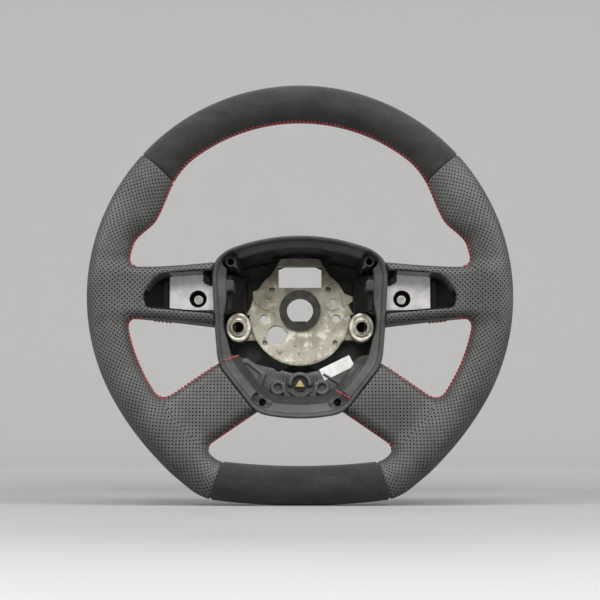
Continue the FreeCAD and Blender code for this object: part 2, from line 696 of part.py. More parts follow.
def pin_socket(side, sign):
    """A machined oval post on the casting with a stepped mouth, a pin bore and a slot for the wire spring."""
    body = new_body(f"{side}_pin_socket")
    base = front_sketch(body, f"{side}SocketOval", str(SOCKET_BASE))
    wide, high = size("socket_half_width"), size("socket_half_height")
    oval(base, wide, high)
    pad(body, f"{side}SocketPad", base, f"$socket_top - {SOCKET_BASE + SOCKET_STEP}")
    step = front_sketch(body, f"{side}SocketStep", f"$socket_top - {SOCKET_STEP}")
    oval(step, wide - 2.4, high - 3.4)
    pad(body, f"{side}StepPad", step, str(SOCKET_STEP))
    mouth = front_sketch(body, f"{side}SocketMouth", "$socket_top")
    ring(mouth, "$socket_bore + 1.2")
    cut(body, f"{side}MouthPocket", mouth, "0.9")
    bore = front_sketch(body, f"{side}SocketBore", "$socket_top")
    ring(bore, "$socket_bore")
    cut(body, f"{side}BorePocket", bore, "$socket_top - 17")
    slot = front_sketch(body, f"{side}WireSlot", "$socket_top - 5.6")
    near, far = WIRE_REST - 1.4, WIRE_REST + WIRE_TRAVEL + 1.4
    outline(slot, [(sign * near, -20), (sign * far, -20), (sign * far, 20), (sign * near, 20)])
    cut(body, f"{side}SlotPocket", slot, "2 * $wire_radius + 0.6")
    bind(body, "Placement.Base.x", f"{sign} * $socket_spacing / 2")
    bind(body, "Placement.Base.z", "-$socket_drop")
    return body


def retaining_spring(side, sign):
    """The straight middle of the wire spring that snaps into an airbag pin's groove."""
    wire = doc.addObject("Part::Cylinder", f"{side}_retaining_spring")
    wire.Label = wire.Name
    bind(wire, "Radius", "$wire_radius")
    bind(wire, "Height", "2 * $socket_half_height - 3")
    bind(wire, "Placement.Base.x", f"{sign} * ($socket_spacing / 2 + {WIRE_REST})")
    bind(wire, "Placement.Base.y", "-($socket_top - 5.9 - $wire_radius)")
    bind(wire, "Placement.Base.z", "-$socket_drop - $socket_half_height + 1.5")
    nodes.append(wire)
    return wire


def pocket_screw(side, sign):
    """A hexagon-socket screw at the bottom of an anchor cup."""
    body = new_body(f"{side}_pocket_screw")
    shank = front_sketch(body, f"{side}ScrewShank", "$pocket_floor - 13")
    ring(shank, "1.85")
    pad(body, f"{side}ShankPad", shank, "3")
    head = front_sketch(body, f"{side}ScrewHead", "$pocket_floor - 10")
    ring(head, "4")
    pad(body, f"{side}HeadPad", head, "3.6")
    drive = front_sketch(body, f"{side}ScrewDrive", "$pocket_floor - 6.4")
    outline(drive, [polar((0, 0), 1.9, 60 * turn) for turn in range(6)])
    cut(body, f"{side}DrivePocket", drive, "2.2")
    bind(body, "Placement.Base.x", f"{sign} * $anchor_spacing / 2")
    bind(body, "Placement.Base.z", "$anchor_height")
    return body


def bumper(side, sign):
    """A round rubber stop in the notch of a pocket's cast floor."""
    body = new_body(f"{side}_bumper")
    base = front_sketch(body, f"{side}BumperRound", "$pocket_floor - 3")
    ring(base, "3.6")
    post = pad(body, f"{side}BumperPad", base, "9")
    doc.recompute()
    brow = [f"Edge{number}" for number, edge in enumerate(post.Shape.Edges, start=1)
            if edge.BoundBox.YMax < -FLOOR - 5.9]
    fillet = body.newObject("PartDesign::Fillet", f"{side}BumperFillet")
    fillet.Base = (post, brow)
    fillet.Radius = 1.4
    body.Placement = Placement(Vector(sign * STOP[0], 0, STOP[1]), Rotation())
    return body


def contact_holder():
    """The round plastic guide that the horn contact slides in."""
    body = new_body("contact_holder")
    base = front_sketch(body, "HolderRound", str(TRAY_TOP))
    ring(base, "6")
    pad(body, "HolderPad", base, "3")
    bore = front_sketch(body, "HolderBore", str(TRAY_TOP + 3))
    ring(bore, "1.65")
    cut(body, "HolderPocket", bore, "3")
    body.Placement = Placement(Vector(CONTACT[0], 0, CONTACT[1]), Rotation())
    return body


def horn_contact():
    """The brass contact: a round stem under a three-cornered head."""
    body = new_body("horn_contact")
    stem = front_sketch(body, "ContactStem", str(TRAY_TOP - 1))
    ring(stem, "1.6")
    pad(body, "StemPad", stem, "7")
    head = front_sketch(body, "ContactHead", str(TRAY_TOP + 6))
    outline(head, [(-4.2, -2.4), (4.2, -2.4), (0.9, 2.8), (-0.9, 2.8)])
    pad(body, "HeadPad", head, "1.2")
    body.Placement = Placement(Vector(CONTACT[0], 0, CONTACT[1]), Rotation())
    return body


def cover_screws():
    """Two screws from behind that hold the bowl to the casting's socket lugs, as one group."""
    screws = []
    for place in ((-SOCKET[0], SOCKET[1]), SOCKET):
        head = disc(place, 3.4, BOWL_BACK + 0.2, BOWL_BACK + 2.2)
        shank = disc(place, 1.6, BOWL_BACK + 2.2, PLATE_BASE)
        screws.append(head.fuse(shank).cut(disc(place, 1.2, BOWL_BACK - 1, BOWL_BACK + 1.4)))
    return Part.makeCompound([single(screw) for screw in screws])


# ---------------------------------------------------------------- build

def check(things):
    """Stop before anything is written if an object failed or a sub-part has no sound shape."""
    for thing in doc.Objects:
        if {"Invalid", "Error"} & set(thing.State):
            raise ValueError(f"{thing.Name} failed: {thing.State}")
    for thing in things:
        if thing.Shape.isNull() or not thing.Shape.isValid():
            raise ValueError(f"{thing.Label} has no sound shape")


def make_shared():
    core = rim_core()
    casting = hub_casting(core)
    foam, skin = padding(core, casting)
    shrouds = both(arm_shroud(side_arm(0.3)))
    liner = pocket_liner(casting)
    top, bottom, left, right = wraps(skin)
    clear_arms = both(side_arm(0.8)) + both(low_arm(0.8)) + shrouds
    shapes = {
        "rim_core": core,
        "hub_casting": casting,
        "rim_foam": foam,
        "top_suede_wrap": top,
        "bottom_suede_wrap": bottom,
        "left_leather_wrap": left,
        "right_leather_wrap": right,
        "rear_cover": rear_cover(clear_arms),
        "bowl_trim": bowl_trim(),
        "lower_tray": lower_tray(),
        "left_pocket_liner": liner,
        "right_pocket_liner": mirrored(liner),
        "left_arm_shroud": shrouds[0],
        "right_arm_shroud": shrouds[1],
        "part_label": part_label(),
        "cover_screws": cover_screws(),
        "top_thread": top_thread(),
    }
    for label, shape in shapes.items():
        sub_part(label, shape)


make_shared()
splined_boss()
for side, sign in (("left", -1), ("right", 1)):
    pin_socket(side, sign)
    retaining_spring(side, sign)
    pocket_screw(side, sign)
    bumper(side, sign)
contact_holder()
horn_contact()
doc.recompute()
check(nodes)
os.makedirs("parts", exist_ok=True)
for node in nodes:
    node.Shape.exportStep(f"parts/{node.Label}.step")
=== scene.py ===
"""Looks of a flat-bottom car steering wheel: suede and perforated leather over a cast hub and bowl.

Shapes are worked out in millimetres in the part's own frame and written in metres. "Lift" is the
distance towards the driver from the boss's rear face, so y = -lift. Most shapes are distance fields,
negative inside.
"""

import json
import math

import bmesh
import bpy
import numpy as np
import openvdb
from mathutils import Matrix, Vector
from mathutils.kdtree import KDTree


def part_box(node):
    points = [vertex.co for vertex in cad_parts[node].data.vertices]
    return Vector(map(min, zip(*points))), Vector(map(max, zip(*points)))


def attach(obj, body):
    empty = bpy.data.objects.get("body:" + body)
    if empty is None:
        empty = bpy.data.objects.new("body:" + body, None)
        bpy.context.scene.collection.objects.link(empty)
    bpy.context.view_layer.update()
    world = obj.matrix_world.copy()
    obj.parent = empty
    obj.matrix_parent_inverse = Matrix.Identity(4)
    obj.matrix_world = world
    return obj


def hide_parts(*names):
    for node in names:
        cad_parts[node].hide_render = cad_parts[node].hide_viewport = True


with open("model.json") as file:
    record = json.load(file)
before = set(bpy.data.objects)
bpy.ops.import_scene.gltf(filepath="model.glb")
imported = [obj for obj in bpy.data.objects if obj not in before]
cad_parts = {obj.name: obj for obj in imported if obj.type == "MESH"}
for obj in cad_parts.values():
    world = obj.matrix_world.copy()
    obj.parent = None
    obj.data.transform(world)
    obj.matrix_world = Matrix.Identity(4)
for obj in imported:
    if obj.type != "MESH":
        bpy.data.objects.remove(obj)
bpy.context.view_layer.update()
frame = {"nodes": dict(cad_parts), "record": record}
MM = 0.001

# ---- driving sizes, in millimetres

WIDE = 1000 * (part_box("right_leather_wrap")[1][0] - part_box("left_leather_wrap")[0][0])
RIM_RISE = 8.0
RIM_LIFT = 85.0
GRIP_HALF_WIDTH = 17.0
GRIP_HALF_DEPTH = 15.0
LINE_RADIUS = WIDE / 2 - GRIP_HALF_WIDTH
SIDE_RADIUS = 245.0
CORNER_RADIUS = 30.0
BOTTOM_RADIUS = 600.0
BOTTOM_LINE = RIM_RISE - 184.4 + GRIP_HALF_WIDTH
SIDE_START = -30.0
TOP_SEAM = 41.5
BOTTOM_SEAM = (73.0, -157.0)
BOTTOM_SEAM_LEAN = -72.0
THUMB_REACH = 10.5
THUMB_ANGLE = 28.5
THUMB_TOP = 54.0
THUMB_FOOT = 16.0
BOWL_BACK = -4.0
BOWL_FRONT = 81.0
POCKET_LINER = 1.2


# ---- small mathematics

def ease(value):
    """0 to 1, flat at both ends."""
    value = np.clip(value, 0.0, 1.0)
    return value * value * (3 - 2 * value)


def join(a, b, blend):
    """Union of two distance fields with a fillet."""
    mix = np.clip(0.5 + 0.5 * (b - a) / blend, 0, 1)
    return b * (1 - mix) + a * mix - blend * mix * (1 - mix)


def common(a, b, blend):
    """Intersection of two distance fields with a rounded edge."""
    return -join(-a, -b, blend)


def box_2d(across, up, half_across, half_up, corner):
    """Distance to a rectangle with round corners."""
    out_across = np.abs(across) - half_across + corner
    out_up = np.abs(up) - half_up + corner
    outside = np.hypot(np.maximum(out_across, 0), np.maximum(out_up, 0))
    return outside + np.minimum(np.maximum(out_across, out_up), 0) - corner


def without(shape, tool, blend):
    """One distance field with another taken out of it."""
    return common(shape, -tool, blend)


def away_from(place, across, up):
    """Distance from a point in front view."""
    return np.hypot(across - place[0], up - place[1])


def slanted(place, cosine, sine, across, up):
    """Position along and across a slanting line through a point in front view."""
    a, b = across - place[0], up - place[1]
    return a * cosine + b * sine, b * cosine - a * sine


def slab(value, low, high):
    """Distance to the range between two values."""
    return np.abs(value - (low + high) / 2) - (high - low) / 2


def half_planes(across, up, corners, blend):
    """Distance to a convex outline given anticlockwise; an open list leaves its last side out."""
    far = None
    for (ax, az), (bx, bz) in zip(corners, corners[1:]):
        length = math.hypot(bx - ax, bz - az)
        side = ((across - ax) * (bz - az) - (up - az) * (bx - ax)) / length
        far = side if far is None else common(far, side, blend)
    return far


# ---- the rim's middle line

SIDE_CENTRE = (-(SIDE_RADIUS - LINE_RADIUS) * math.cos(math.radians(SIDE_START)),
               RIM_RISE - (SIDE_RADIUS - LINE_RADIUS) * math.sin(math.radians(SIDE_START)))
BOTTOM_CENTRE = (0.0, BOTTOM_LINE + BOTTOM_RADIUS)


def find_corner():
    """Centre of the lower corner's arc, touching the side arc and the bottom arc from inside."""
    to_side = SIDE_RADIUS - CORNER_RADIUS
    to_bottom = BOTTOM_RADIUS - CORNER_RADIUS
    across = BOTTOM_CENTRE[0] - SIDE_CENTRE[0]
    up = BOTTOM_CENTRE[1] - SIDE_CENTRE[1]
    gap = math.hypot(across, up)
    along = (to_side ** 2 - to_bottom ** 2 + gap ** 2) / (2 * gap)
    out = math.sqrt(to_side ** 2 - along ** 2)
    foot = (SIDE_CENTRE[0] + along * across / gap, SIDE_CENTRE[1] + along * up / gap)
    return foot[0] + out * up / gap, foot[1] - out * across / gap


CORNER_CENTRE = find_corner()


def heading(start, end):
    """Direction from one point to another, in degrees."""
    return math.degrees(math.atan2(end[1] - start[1], end[0] - start[0]))


SIDE_END = heading(SIDE_CENTRE, CORNER_CENTRE)
CORNER_END = heading(BOTTOM_CENTRE, CORNER_CENTRE)
RIM_ARCS = [
    ((0.0, RIM_RISE), LINE_RADIUS, 90.0, SIDE_START),
    (SIDE_CENTRE, SIDE_RADIUS, SIDE_START, SIDE_END),
    (CORNER_CENTRE, CORNER_RADIUS, SIDE_END, CORNER_END),
    (BOTTOM_CENTRE, BOTTOM_RADIUS, CORNER_END, -90.0),
]


def rim_place(x, z):
    """Distance outward from the rim's middle line, and distance along it from the top, signed like x."""
    across = np.abs(x)
    offset = np.full(np.broadcast(x, z).shape, 1e4)
    run = np.zeros_like(offset)
    before = 0.0
    for centre, radius, start, end in RIM_ARCS:
        dx, dz = across - centre[0], z - centre[1]
        angle = np.degrees(np.arctan2(dz, dx))
        away = np.hypot(dx, dz) - radius
        inside = (angle <= start + 1e-6) & (angle >= end - 1e-6) & (np.abs(away) < np.abs(offset))
        offset = np.where(inside, away, offset)
        run = np.where(inside, before + np.radians(start - angle) * radius, run)
        before += math.radians(start - end) * radius
    return offset, run * np.sign(x + 1e-9)


# ---- distance fields of the padded skin

def thumb_swell(x, z):
    """How far the grip swells inward, for the thumbs, just above the side spokes."""
    angle = np.degrees(np.arctan2(z - RIM_RISE, np.abs(x)))
    climb = ease((THUMB_TOP - angle) / (THUMB_TOP - THUMB_ANGLE)) ** 1.4
    fall = ease((angle - THUMB_FOOT) / (THUMB_ANGLE - 1.0 - THUMB_FOOT))
    return THUMB_REACH * np.where(angle > THUMB_ANGLE, climb, fall)


def grip_field(x, lift, z):
    """The oval grip round the rim's middle line, widened inward at the thumbs."""
    offset, _ = rim_place(x, z)
    swell = thumb_swell(x, z)
    wide = GRIP_HALF_WIDTH + swell / 2
    across = (offset + swell / 2) / wide
    up = (lift - RIM_LIFT) / GRIP_HALF_DEPTH
    size = np.sqrt(across ** 2 + up ** 2) + 1e-6
    slope = np.sqrt((across / wide) ** 2 + (up / GRIP_HALF_DEPTH) ** 2) + 1e-6
    return size * (size - 1) / slope


def side_spoke_field(x, lift, z):
    """The two side spokes, which widen towards the bowl and lean towards the driver at the rim."""
    across = np.abs(x)
    inward = np.clip((140.0 - across) / 70.0, 0, 1.3)
    top = 31.6 + 6.2 * inward ** 1.5
    low = -13.4 - 6.0 * inward ** 1.2
    front = 83.0 + 0.135 * (across - 60.0)
    back = 36.0 + 0.287 * (across - 60.0) + 14.0 * ease((across - 132.0) / 36.0)
    field = box_2d(z - (top + low) / 2, lift - (front + back) / 2, (top - low) / 2, (front - back) / 2, 7.5)
    return common(common(field, across - 170.0, 6.0), 50.0 - across, 2.0)


LOW_TURN = math.radians(-35.2)
LOW_SHIFT = 28.5
LOW_HALF_WIDTH = 27.0


def low_spoke_field(x, lift, z):
    """The two lower spokes, crowned across their face."""
    across = np.abs(x)
    along = across * math.cos(LOW_TURN) + z * math.sin(LOW_TURN)
    beside = -across * math.sin(LOW_TURN) + z * math.cos(LOW_TURN) + LOW_SHIFT
    crown = 2.5 * (beside / LOW_HALF_WIDTH) ** 2
    front = 80.0 + 0.135 * (along - 60.0) - crown
    back = 18.0 + 0.40 * (along - 40.0) + 10.0 * ease((along - 130.0) / 40.0) + crown
    field = box_2d(beside, lift - (front + back) / 2, LOW_HALF_WIDTH, (front - back) / 2, 9.0)
    return common(common(field, along - 168.0, 8.0), 40.0 - along, 2.0)


POCKET_CORNERS = [
    (136.3, 5.0), (130.6, 16.5), (124.0, 23.0), (107.0, 26.6), (70.0, 28.4), (70.0, -8.6), (133.6, -4.0),
    (136.3, 5.0),
]
BOWL_SIDE = [(39.0, -96.5), (72.5, -54.0), (76.5, -22.0), (78.0, 34.0), (70.0, 45.5)]
BOWL_TOP_ARC = (-110.3, 170.8)
BOWL_BOTTOM_ARC = (53.1, 154.6)
BOWL_MIDDLE = -8.0
BOWL_TAPER = (0.92, 0.88)
BOWL_WALL = 3.2
COLUMN_OPENING = 47.5
SCREW_HOLE = 3.0
ANCHOR = (91.5, 6.0)
ANCHOR_ROOM = 7.6
SOCKET_AT = (56.5, -17.0)
SHOULDER_POST = (62.0, 38.6)
TRAY_POST = (33.2, -87.0)
TRAY_SLOT = (33.5, -85.5)
TRAY_BACK = 46.0
TRAY_FACE = 50.0
TRAY_DOME = (0.0, -70.0)
TRAY_HOLE = (-19.5, -55.3)
RING_PAD = (20.0, -73.2)
BRACE = (38.0, -61.5)
SIDE_CLIP = (65.0, 17.0)
LIP_LIFT = 79.6
LIP_WIDTH = 11.5
LIP_SLOPE = 0.62
# Height, half length and depth of the lip's narrowing beside the sockets.
LIP_NECK = (-18.0, 15.0, 4.2)
PLATE_TAB = [(-34.0, 6.0), (-34.0, 20.4), (-44.2, 18.0), (-43.6, 10.0), (-40.5, 4.0), (-34.0, 6.0)]
PLATE_SPUR = [(53.4, 11.4), (36.0, 18.0), (40.0, 2.0), (53.4, 11.4)]
TRAY_PANEL = [(48.6, -45.3), (29.5, -59.9), (37.3, -78.9), (62.0, -53.2), (48.6, -45.3)]


def pocket_field(x, z, corner=3.0):
    """Outline of a switch pocket in front view."""
    return half_planes(np.abs(x), z, POCKET_CORNERS, corner)


def bowl_field(x, lift, z, corner=6.0):
    """Outside of the bowl, which narrows towards its back."""
    front = (lift - BOWL_BACK) / (BOWL_FRONT - BOWL_BACK)
    across = np.abs(x) / (BOWL_TAPER[0] + (1 - BOWL_TAPER[0]) * front)
    up = BOWL_MIDDLE + (z - BOWL_MIDDLE) / (BOWL_TAPER[1] + (1 - BOWL_TAPER[1]) * front)
    sides = half_planes(across, up, BOWL_SIDE, corner)
    top = np.hypot(across, up - BOWL_TOP_ARC[0]) - BOWL_TOP_ARC[1]
    bottom = np.hypot(across, up - BOWL_BOTTOM_ARC[0]) - BOWL_BOTTOM_ARC[1]
    return common(common(sides, top, corner), bottom, corner)


def skin_field(x, lift, z):
    """Rim, four spokes and thumb rests under one skin, open at the bowl and the two switch pockets."""
    field = join(grip_field(x, lift, z), side_spoke_field(x, lift, z), 11.0)
    field = join(field, low_spoke_field(x, lift, z), 13.0)
    room = common(pocket_field(x, z) - POCKET_LINER - 0.1, 60.0 - lift, 1.0)
    field = without(field, room, 1.6)
    cup = common(away_from(ANCHOR, np.abs(x), z) - ANCHOR_ROOM, 46.0 - lift, 0.5)
    field = without(field, cup, 0.5)
    return common(field, 0.4 - bowl_field(x, lift, z), 1.6)


# ---- distance fields of the moulded plastic

def lip_field(side, lift, z):
    """The broad lip sloping inward, narrower beside the sockets and towards the top."""
    neck, spread, depth = LIP_NECK
    wide = LIP_WIDTH - depth * np.exp(-((z - neck) / spread) ** 2) - 1.2 * ease((z - 20.0) / 20.0)
    fold = np.abs(lift - LIP_LIFT - LIP_SLOPE * side) * 0.85 - 1.4
    return common(common(fold, side + 0.6, 1.2), -side - wide, 1.4)


def lip_foot(side, lift, z):
    """The thick wall under the lip along the bottom."""
    foot = common(side + 0.6, -side - LIP_WIDTH - 0.3 * (72.0 - lift), 1.0)
    return common(common(foot, slab(lift, 46.0, 73.0), 1.0), z + 44.0, 6.0)


def shoulder_post(side, across, lift, z):
    """A tapering screw post in each upper corner, with a web on its slanting line."""
    web = box_2d((across - 64.0) + (z - 40.5), (across - 64.0) - (z - 40.5), 16.0, 1.6, 0.8)
    post = away_from(SHOULDER_POST, across, z) - 5.0 - 0.03 * (67.0 - lift)
    post = join(post, common(web, slab(lift, -3.0, 73.0), 1.0), 1.5)
    return common(common(post, side + 1.0, 0.5), slab(lift, -2.0, 70.0), 1.6)


def shell_field(x, lift, z):
    """The bowl: walls, lip, side clips, screw posts, screw holes and a column opening."""
    side = bowl_field(x, lift, z)
    across = np.abs(x)
    post_away = away_from(SHOULDER_POST, across, z)
    shell = common(side, slab(lift, BOWL_BACK, BOWL_FRONT), 3.5)
    shell = without(shell, common(side + BOWL_WALL, BOWL_BACK + BOWL_WALL - lift, 3.0), 2.0)
    shell = join(shell, lip_field(side, lift, z), 2.4)
    shell = join(shell, lip_foot(side, lift, z), 2.0)
    clip = box_2d(across - SIDE_CLIP[0], z - SIDE_CLIP[1], 6.0, 5.0, 1.5)
    clip = common(clip, slab(lift, 37.5, 72.5), 1.5)
    shell = join(shell, common(clip, side + 1.0, 0.5), 2.0)
    shell = without(shell, common(common(post_away - 7.4, 52.0 - lift, 1.0), side + 3.0, 1.5), 1.6)
    slot = box_2d(*slanted(TRAY_SLOT, 0.94, 0.34, across, z), 8.5, 4.6, 3.5)
    shell = without(shell, common(slot, 70.5 - lift, 1.2), 1.4)
    hole = away_from(TRAY_POST, across, z) - SCREW_HOLE
    shell = without(shell, common(hole, 44.0 - lift, 0.3), 0.8)
    shell = join(shell, shoulder_post(side, across, lift, z), 2.0)
    shell = without(shell, common(post_away - SCREW_HOLE, 40.0 - lift, 0.3), 0.7)
    opening = COLUMN_OPENING - 1.8 * ease((z - 16.0) / 8.0)
    return common(shell, opening - np.hypot(x, z), 1.0)


def cover_field(x, lift, z):
    """The soft-edged cover over each side arm, with a fold down its face."""
    across = np.abs(x)
    face = ((lift - 29.0) * 25.0 - (across - 49.0) * 39.0) / 46.3
    face = face + 1.6 * ease((across - 62.0) / 2.0) - 0.8 * np.exp(-((across - 63.0) / 1.2) ** 2)
    rear = ((across - 50.0) * 40.0 - (lift - 12.0) * 30.0) / 50.0
    field = common(common(face, rear, 1.0), np.abs(z - 12.0) - 18.6, 3.5)
    field = common(common(field, lift - 67.5, 3.0), 49.3 - across, 2.0)
    field = common(field, bowl_field(x, lift, z) + BOWL_WALL + 0.1, 1.0)
    field = common(field, 14.6 - away_from(SOCKET_AT, across, z), 1.2)
    return common(field, 8.2 - away_from(SHOULDER_POST, across, z), 0.6)


def tabs_field(x, lift, z):
    """The tab and the spur that stick out of the hub plate's edge."""
    outline = np.minimum(half_planes(x, z, PLATE_TAB, 1.5), half_planes(x, z, PLATE_SPUR, 1.5))
    return common(outline, slab(lift, 16.0, 20.4), 0.8)


def tray_relief(x, z, side):
    """What stands on the tray: outline, lift of its top, roundness of its edge and fillet at its foot."""
    across = np.abs(x)
    panel = half_planes(-x, z, TRAY_PANEL, 3.0)
    panel_rim = common(panel + 3.0, -panel - 4.2, 0.6)
    pads = np.abs(away_from(RING_PAD, across, z) - 5.2) - 1.5
    away = away_from(TRAY_DOME, x, z)
    dome = common(common(away - 10.8, 7.0 - away, 1.0), -72.0 - z, 2.0)
    arcs = [common(common(np.abs(away - radius) - 0.8, z + 76.0, 0.6), across - 11.8, 0.6)
            for radius in (11.0, 15.0)]
    walls = box_2d(across - 13.4, z + 78.0, 0.9, 17.0, 0.6)
    cross = box_2d(x, z + 87.0, 14.0, 0.9, 0.6)
    along, beside = slanted(BRACE, 0.86, -0.5, x, z)
    brace = box_2d(along, beside + 8.0, 15.0, 0.8, 0.6)
    web = slanted((TRAY_POST[0], TRAY_POST[1] + 4.0), 0.8, 0.6, across, z)
    eye = join(away_from(TRAY_POST, across, z) - 5.2, box_2d(*web, 10.0, 1.1, 0.6), 1.0)
    return [
        (panel, 54.5, 2.5, 1.5),
        (panel_rim, 55.6, 0.8, 0.8),
        (pads, 53.2, 1.0, 1.0),
        (dome, 56.0, 2.2, 1.5),
        *((arc, 52.6, 0.6, 0.8) for arc in arcs),
        (common(join(walls, cross, 0.8), side, 0.5), 53.0, 0.8, 1.6),
        (common(brace, side, 0.5), 52.5, 0.8, 1.2),
        (common(eye, side, 0.5), 56.0, 1.2, 2.0),
    ]


def tray_field(x, lift, z):
    """The tray across the bottom of the bowl: a sheet, what stands on it, and its holes."""
    side = bowl_field(x, lift, z) + BOWL_WALL
    tray = common(common(side, slab(lift, TRAY_BACK, TRAY_FACE), 0.8), z + 38.0, 1.5)
    tray = common(tray, 53.0 - np.hypot(x, z + 2.0), 1.5)
    tray = common(tray, z + 43.5 + 0.25 * (72.0 - np.abs(x)), 2.0)
    for outline, top, edge, fillet in tray_relief(x, z, side):
        tray = join(tray, common(outline, slab(lift, TRAY_BACK + 1.0, top), edge), fillet)
    hole = away_from(TRAY_POST, np.abs(x), z) - SCREW_HOLE
    tray = without(tray, common(hole, 44.0 - lift, 0.3), 0.8)
    tray = common(tray, 3.4 - away_from(TRAY_HOLE, x, z), 0.8)
    return common(tray, 6.4 - away_from(TRAY_DOME, x, z), 0.4)


# ---- from distance fields to meshes

def surface(field, low, high, step):
    """Points (x, lift, z) and faces of a field's zero surface in a box, pulled onto the true surface."""
    axes = [np.arange(a, b + step, step, dtype=np.float32) for a, b in zip(low, high)]
    x, lift, z = np.meshgrid(*axes, indexing="ij", sparse=True)
    values = np.broadcast_to(field(x, lift, z), [len(axis) for axis in axes])
    band = 3 * step
    grid = openvdb.FloatGrid(float(band))
    grid.copyFromArray(np.clip(values, -band, band).astype(np.float32))
    points, faces = grid.convertToQuads(0.0)
    points = points.astype(np.float64) * step + np.array([axis[0] for axis in axes])
    for _ in range(3):
        points = pull(field, points)
    return points, faces


def gradient(field, points, reach=0.15):
    slopes = []
    for axis in range(3):
        nudge = np.zeros(3)
        nudge[axis] = reach
        slopes.append((field(*(points + nudge).T) - field(*(points - nudge).T)) / (2 * reach))
    return np.stack(slopes, axis=1)


def pull(field, points):
    """One step of every point towards the field's zero surface."""
    slope = gradient(field, points)
    steep = np.maximum((slope ** 2).sum(axis=1), 0.05)
    move = slope * (field(*points.T) / steep)[:, None]
    length = np.linalg.norm(move, axis=1, keepdims=True)
    return points - move * np.minimum(1.0, 1.0 / np.maximum(length, 1e-9))


def to_frame(points):
    """Millimetres as (x, lift, z) to metres in the part's frame."""
    return np.stack([points[:, 0], -points[:, 1], points[:, 2]], axis=1) * MM


def filled(points, faces):
    """A new shape from points and the faces between them."""
    shape = bmesh.new()
    corners = [shape.verts.new(point) for point in points.tolist()]
    for face in faces.tolist():
        shape.faces.new([corners[index] for index in face])
    return shape


def skirt(shape, rings):
    """Faces from each ring of points to the next."""
    for a, b in zip(rings, rings[1:]):
        for step in range(len(a)):
            after = (step + 1) % len(a)
            shape.faces.new([a[step], a[after], b[after], b[step]])


def link_object(name, data):
    holder = bpy.data.objects.new(name, data)
    bpy.context.scene.collection.objects.link(holder)
    return holder


def new_piece(name, shape, material):
    """Turns a finished shape into a smooth piece of one material that rides on the wheel."""
    bmesh.ops.recalc_face_normals(shape, faces=shape.faces)
    mesh = bpy.data.meshes.new(name)
    shape.to_mesh(mesh)
    shape.free()
    mesh.shade_smooth()
    mesh.materials.append(material)
    piece = link_object(name, mesh)
    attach(piece, "wheel")
    return piece


# ---- the skin: one surface, cut at four seams

SKIN_STEP = 1.5
GROOVE_DEPTH = 1.3
GROOVE_WIDTH = 0.9
SEAM_ROW = 1.5


def seam_planes():
    """Each seam as (point, normal, test of which faces it cuts), in (x, lift, z) millimetres."""
    planes = []
    for sign in (1, -1):
        turn = math.radians(TOP_SEAM)
        across = Vector((-sign * math.sin(turn), 0, math.cos(turn)))
        planes.append((Vector((0, 0, RIM_RISE)), across,
                       lambda point, sign=sign: point.z > 60 and point.x * sign > 0))
        lean = math.radians(BOTTOM_SEAM_LEAN)
        tilt = Vector((sign * math.sin(lean), 0, -math.cos(lean)))
        planes.append((Vector((sign * BOTTOM_SEAM[0], 0, BOTTOM_SEAM[1])), tilt,
                       lambda point, sign=sign: point.z < -120 and point.x * sign > 30))
    return planes


def skin_mesh():
    """The whole skin with clean edge rows along the seams and a groove sunk along each."""
    points, faces = surface(skin_field, (-190, 10, -180), (190, 112, 198), SKIN_STEP)
    shape = filled(points, faces[:, ::-1])
    for place, normal, near in seam_planes():
        for shift in (-SEAM_ROW, 0.0, SEAM_ROW):
            chosen = [face for face in shape.faces if near(face.calc_center_median())]
            cut = chosen + list({edge for face in chosen for edge in face.edges})
            cut += list({vert for face in chosen for vert in face.verts})
            bmesh.ops.bisect_plane(shape, geom=cut, dist=0.05, plane_co=place + normal * shift,
                                   plane_no=normal)
    shape.normal_update()
    for place, normal, near in seam_planes():
        for vert in shape.verts:
            if near(vert.co):
                away = (vert.co - place).dot(normal)
                if abs(away) < 4 * GROOVE_WIDTH:
                    vert.co += vert.normal * GROOVE_DEPTH * math.exp(-(away / GROOVE_WIDTH) ** 2)
    shape.normal_update()
    return shape


def skin_part(centre):
    """Which of the four skins a face belongs to, by its middle."""
    turn = math.degrees(math.atan2(centre.z - RIM_RISE, abs(centre.x)))
    if turn > TOP_SEAM and centre.z > 60:
        return "top"
    lean = math.radians(BOTTOM_SEAM_LEAN)
    across, up = abs(centre.x) - BOTTOM_SEAM[0], centre.z - BOTTOM_SEAM[1]
    inside = across * math.sin(lean) - up * math.cos(lean)
    if centre.z < -120 and inside > 0:
        return "bottom"
    return "left" if centre.x < 0 else "right"


DIAGONAL = math.sqrt(0.5)


def leather_uv(shape):
    """Flat leather coordinates: along and round the rim, and front view or side view on the spokes."""
    layer = shape.loops.layers.uv.new("leather")
    points = np.array([vert.co[:] for vert in shape.verts])
    offset, run = rim_place(points[:, 0], points[:, 2])
    swell = thumb_swell(points[:, 0], points[:, 2])
    turn = np.arctan2(points[:, 1] - RIM_LIFT, offset + swell / 2)
    rim = grip_field(*points.T)
    spoke = np.minimum(side_spoke_field(*points.T), low_spoke_field(*points.T))
    shape.verts.index_update()
    round_grip = 2 * math.pi * (GRIP_HALF_WIDTH + GRIP_HALF_DEPTH) / 2
    for face in shape.faces:
        index = [vert.index for vert in face.verts]
        on_rim = np.mean(rim[index]) < np.mean(spoke[index]) + 0.5
        angles = turn[index]
        if angles.max() - angles.min() > math.pi:
            angles = np.where(angles < 0, angles + 2 * math.pi, angles)
        flat = abs(face.normal.y) > 0.45
        for loop, vertex, angle in zip(face.loops, index, angles):
            x, lift, z = points[vertex]
            if on_rim:
                loop[layer].uv = (run[vertex], angle / (2 * math.pi) * round_grip)
            elif flat and z < -24:
                loop[layer].uv = ((x + z) * DIAGONAL, (z - x) * DIAGONAL)
            elif flat:
                loop[layer].uv = (x, z)
            else:
                loop[layer].uv = (x + z * 0.3, lift)


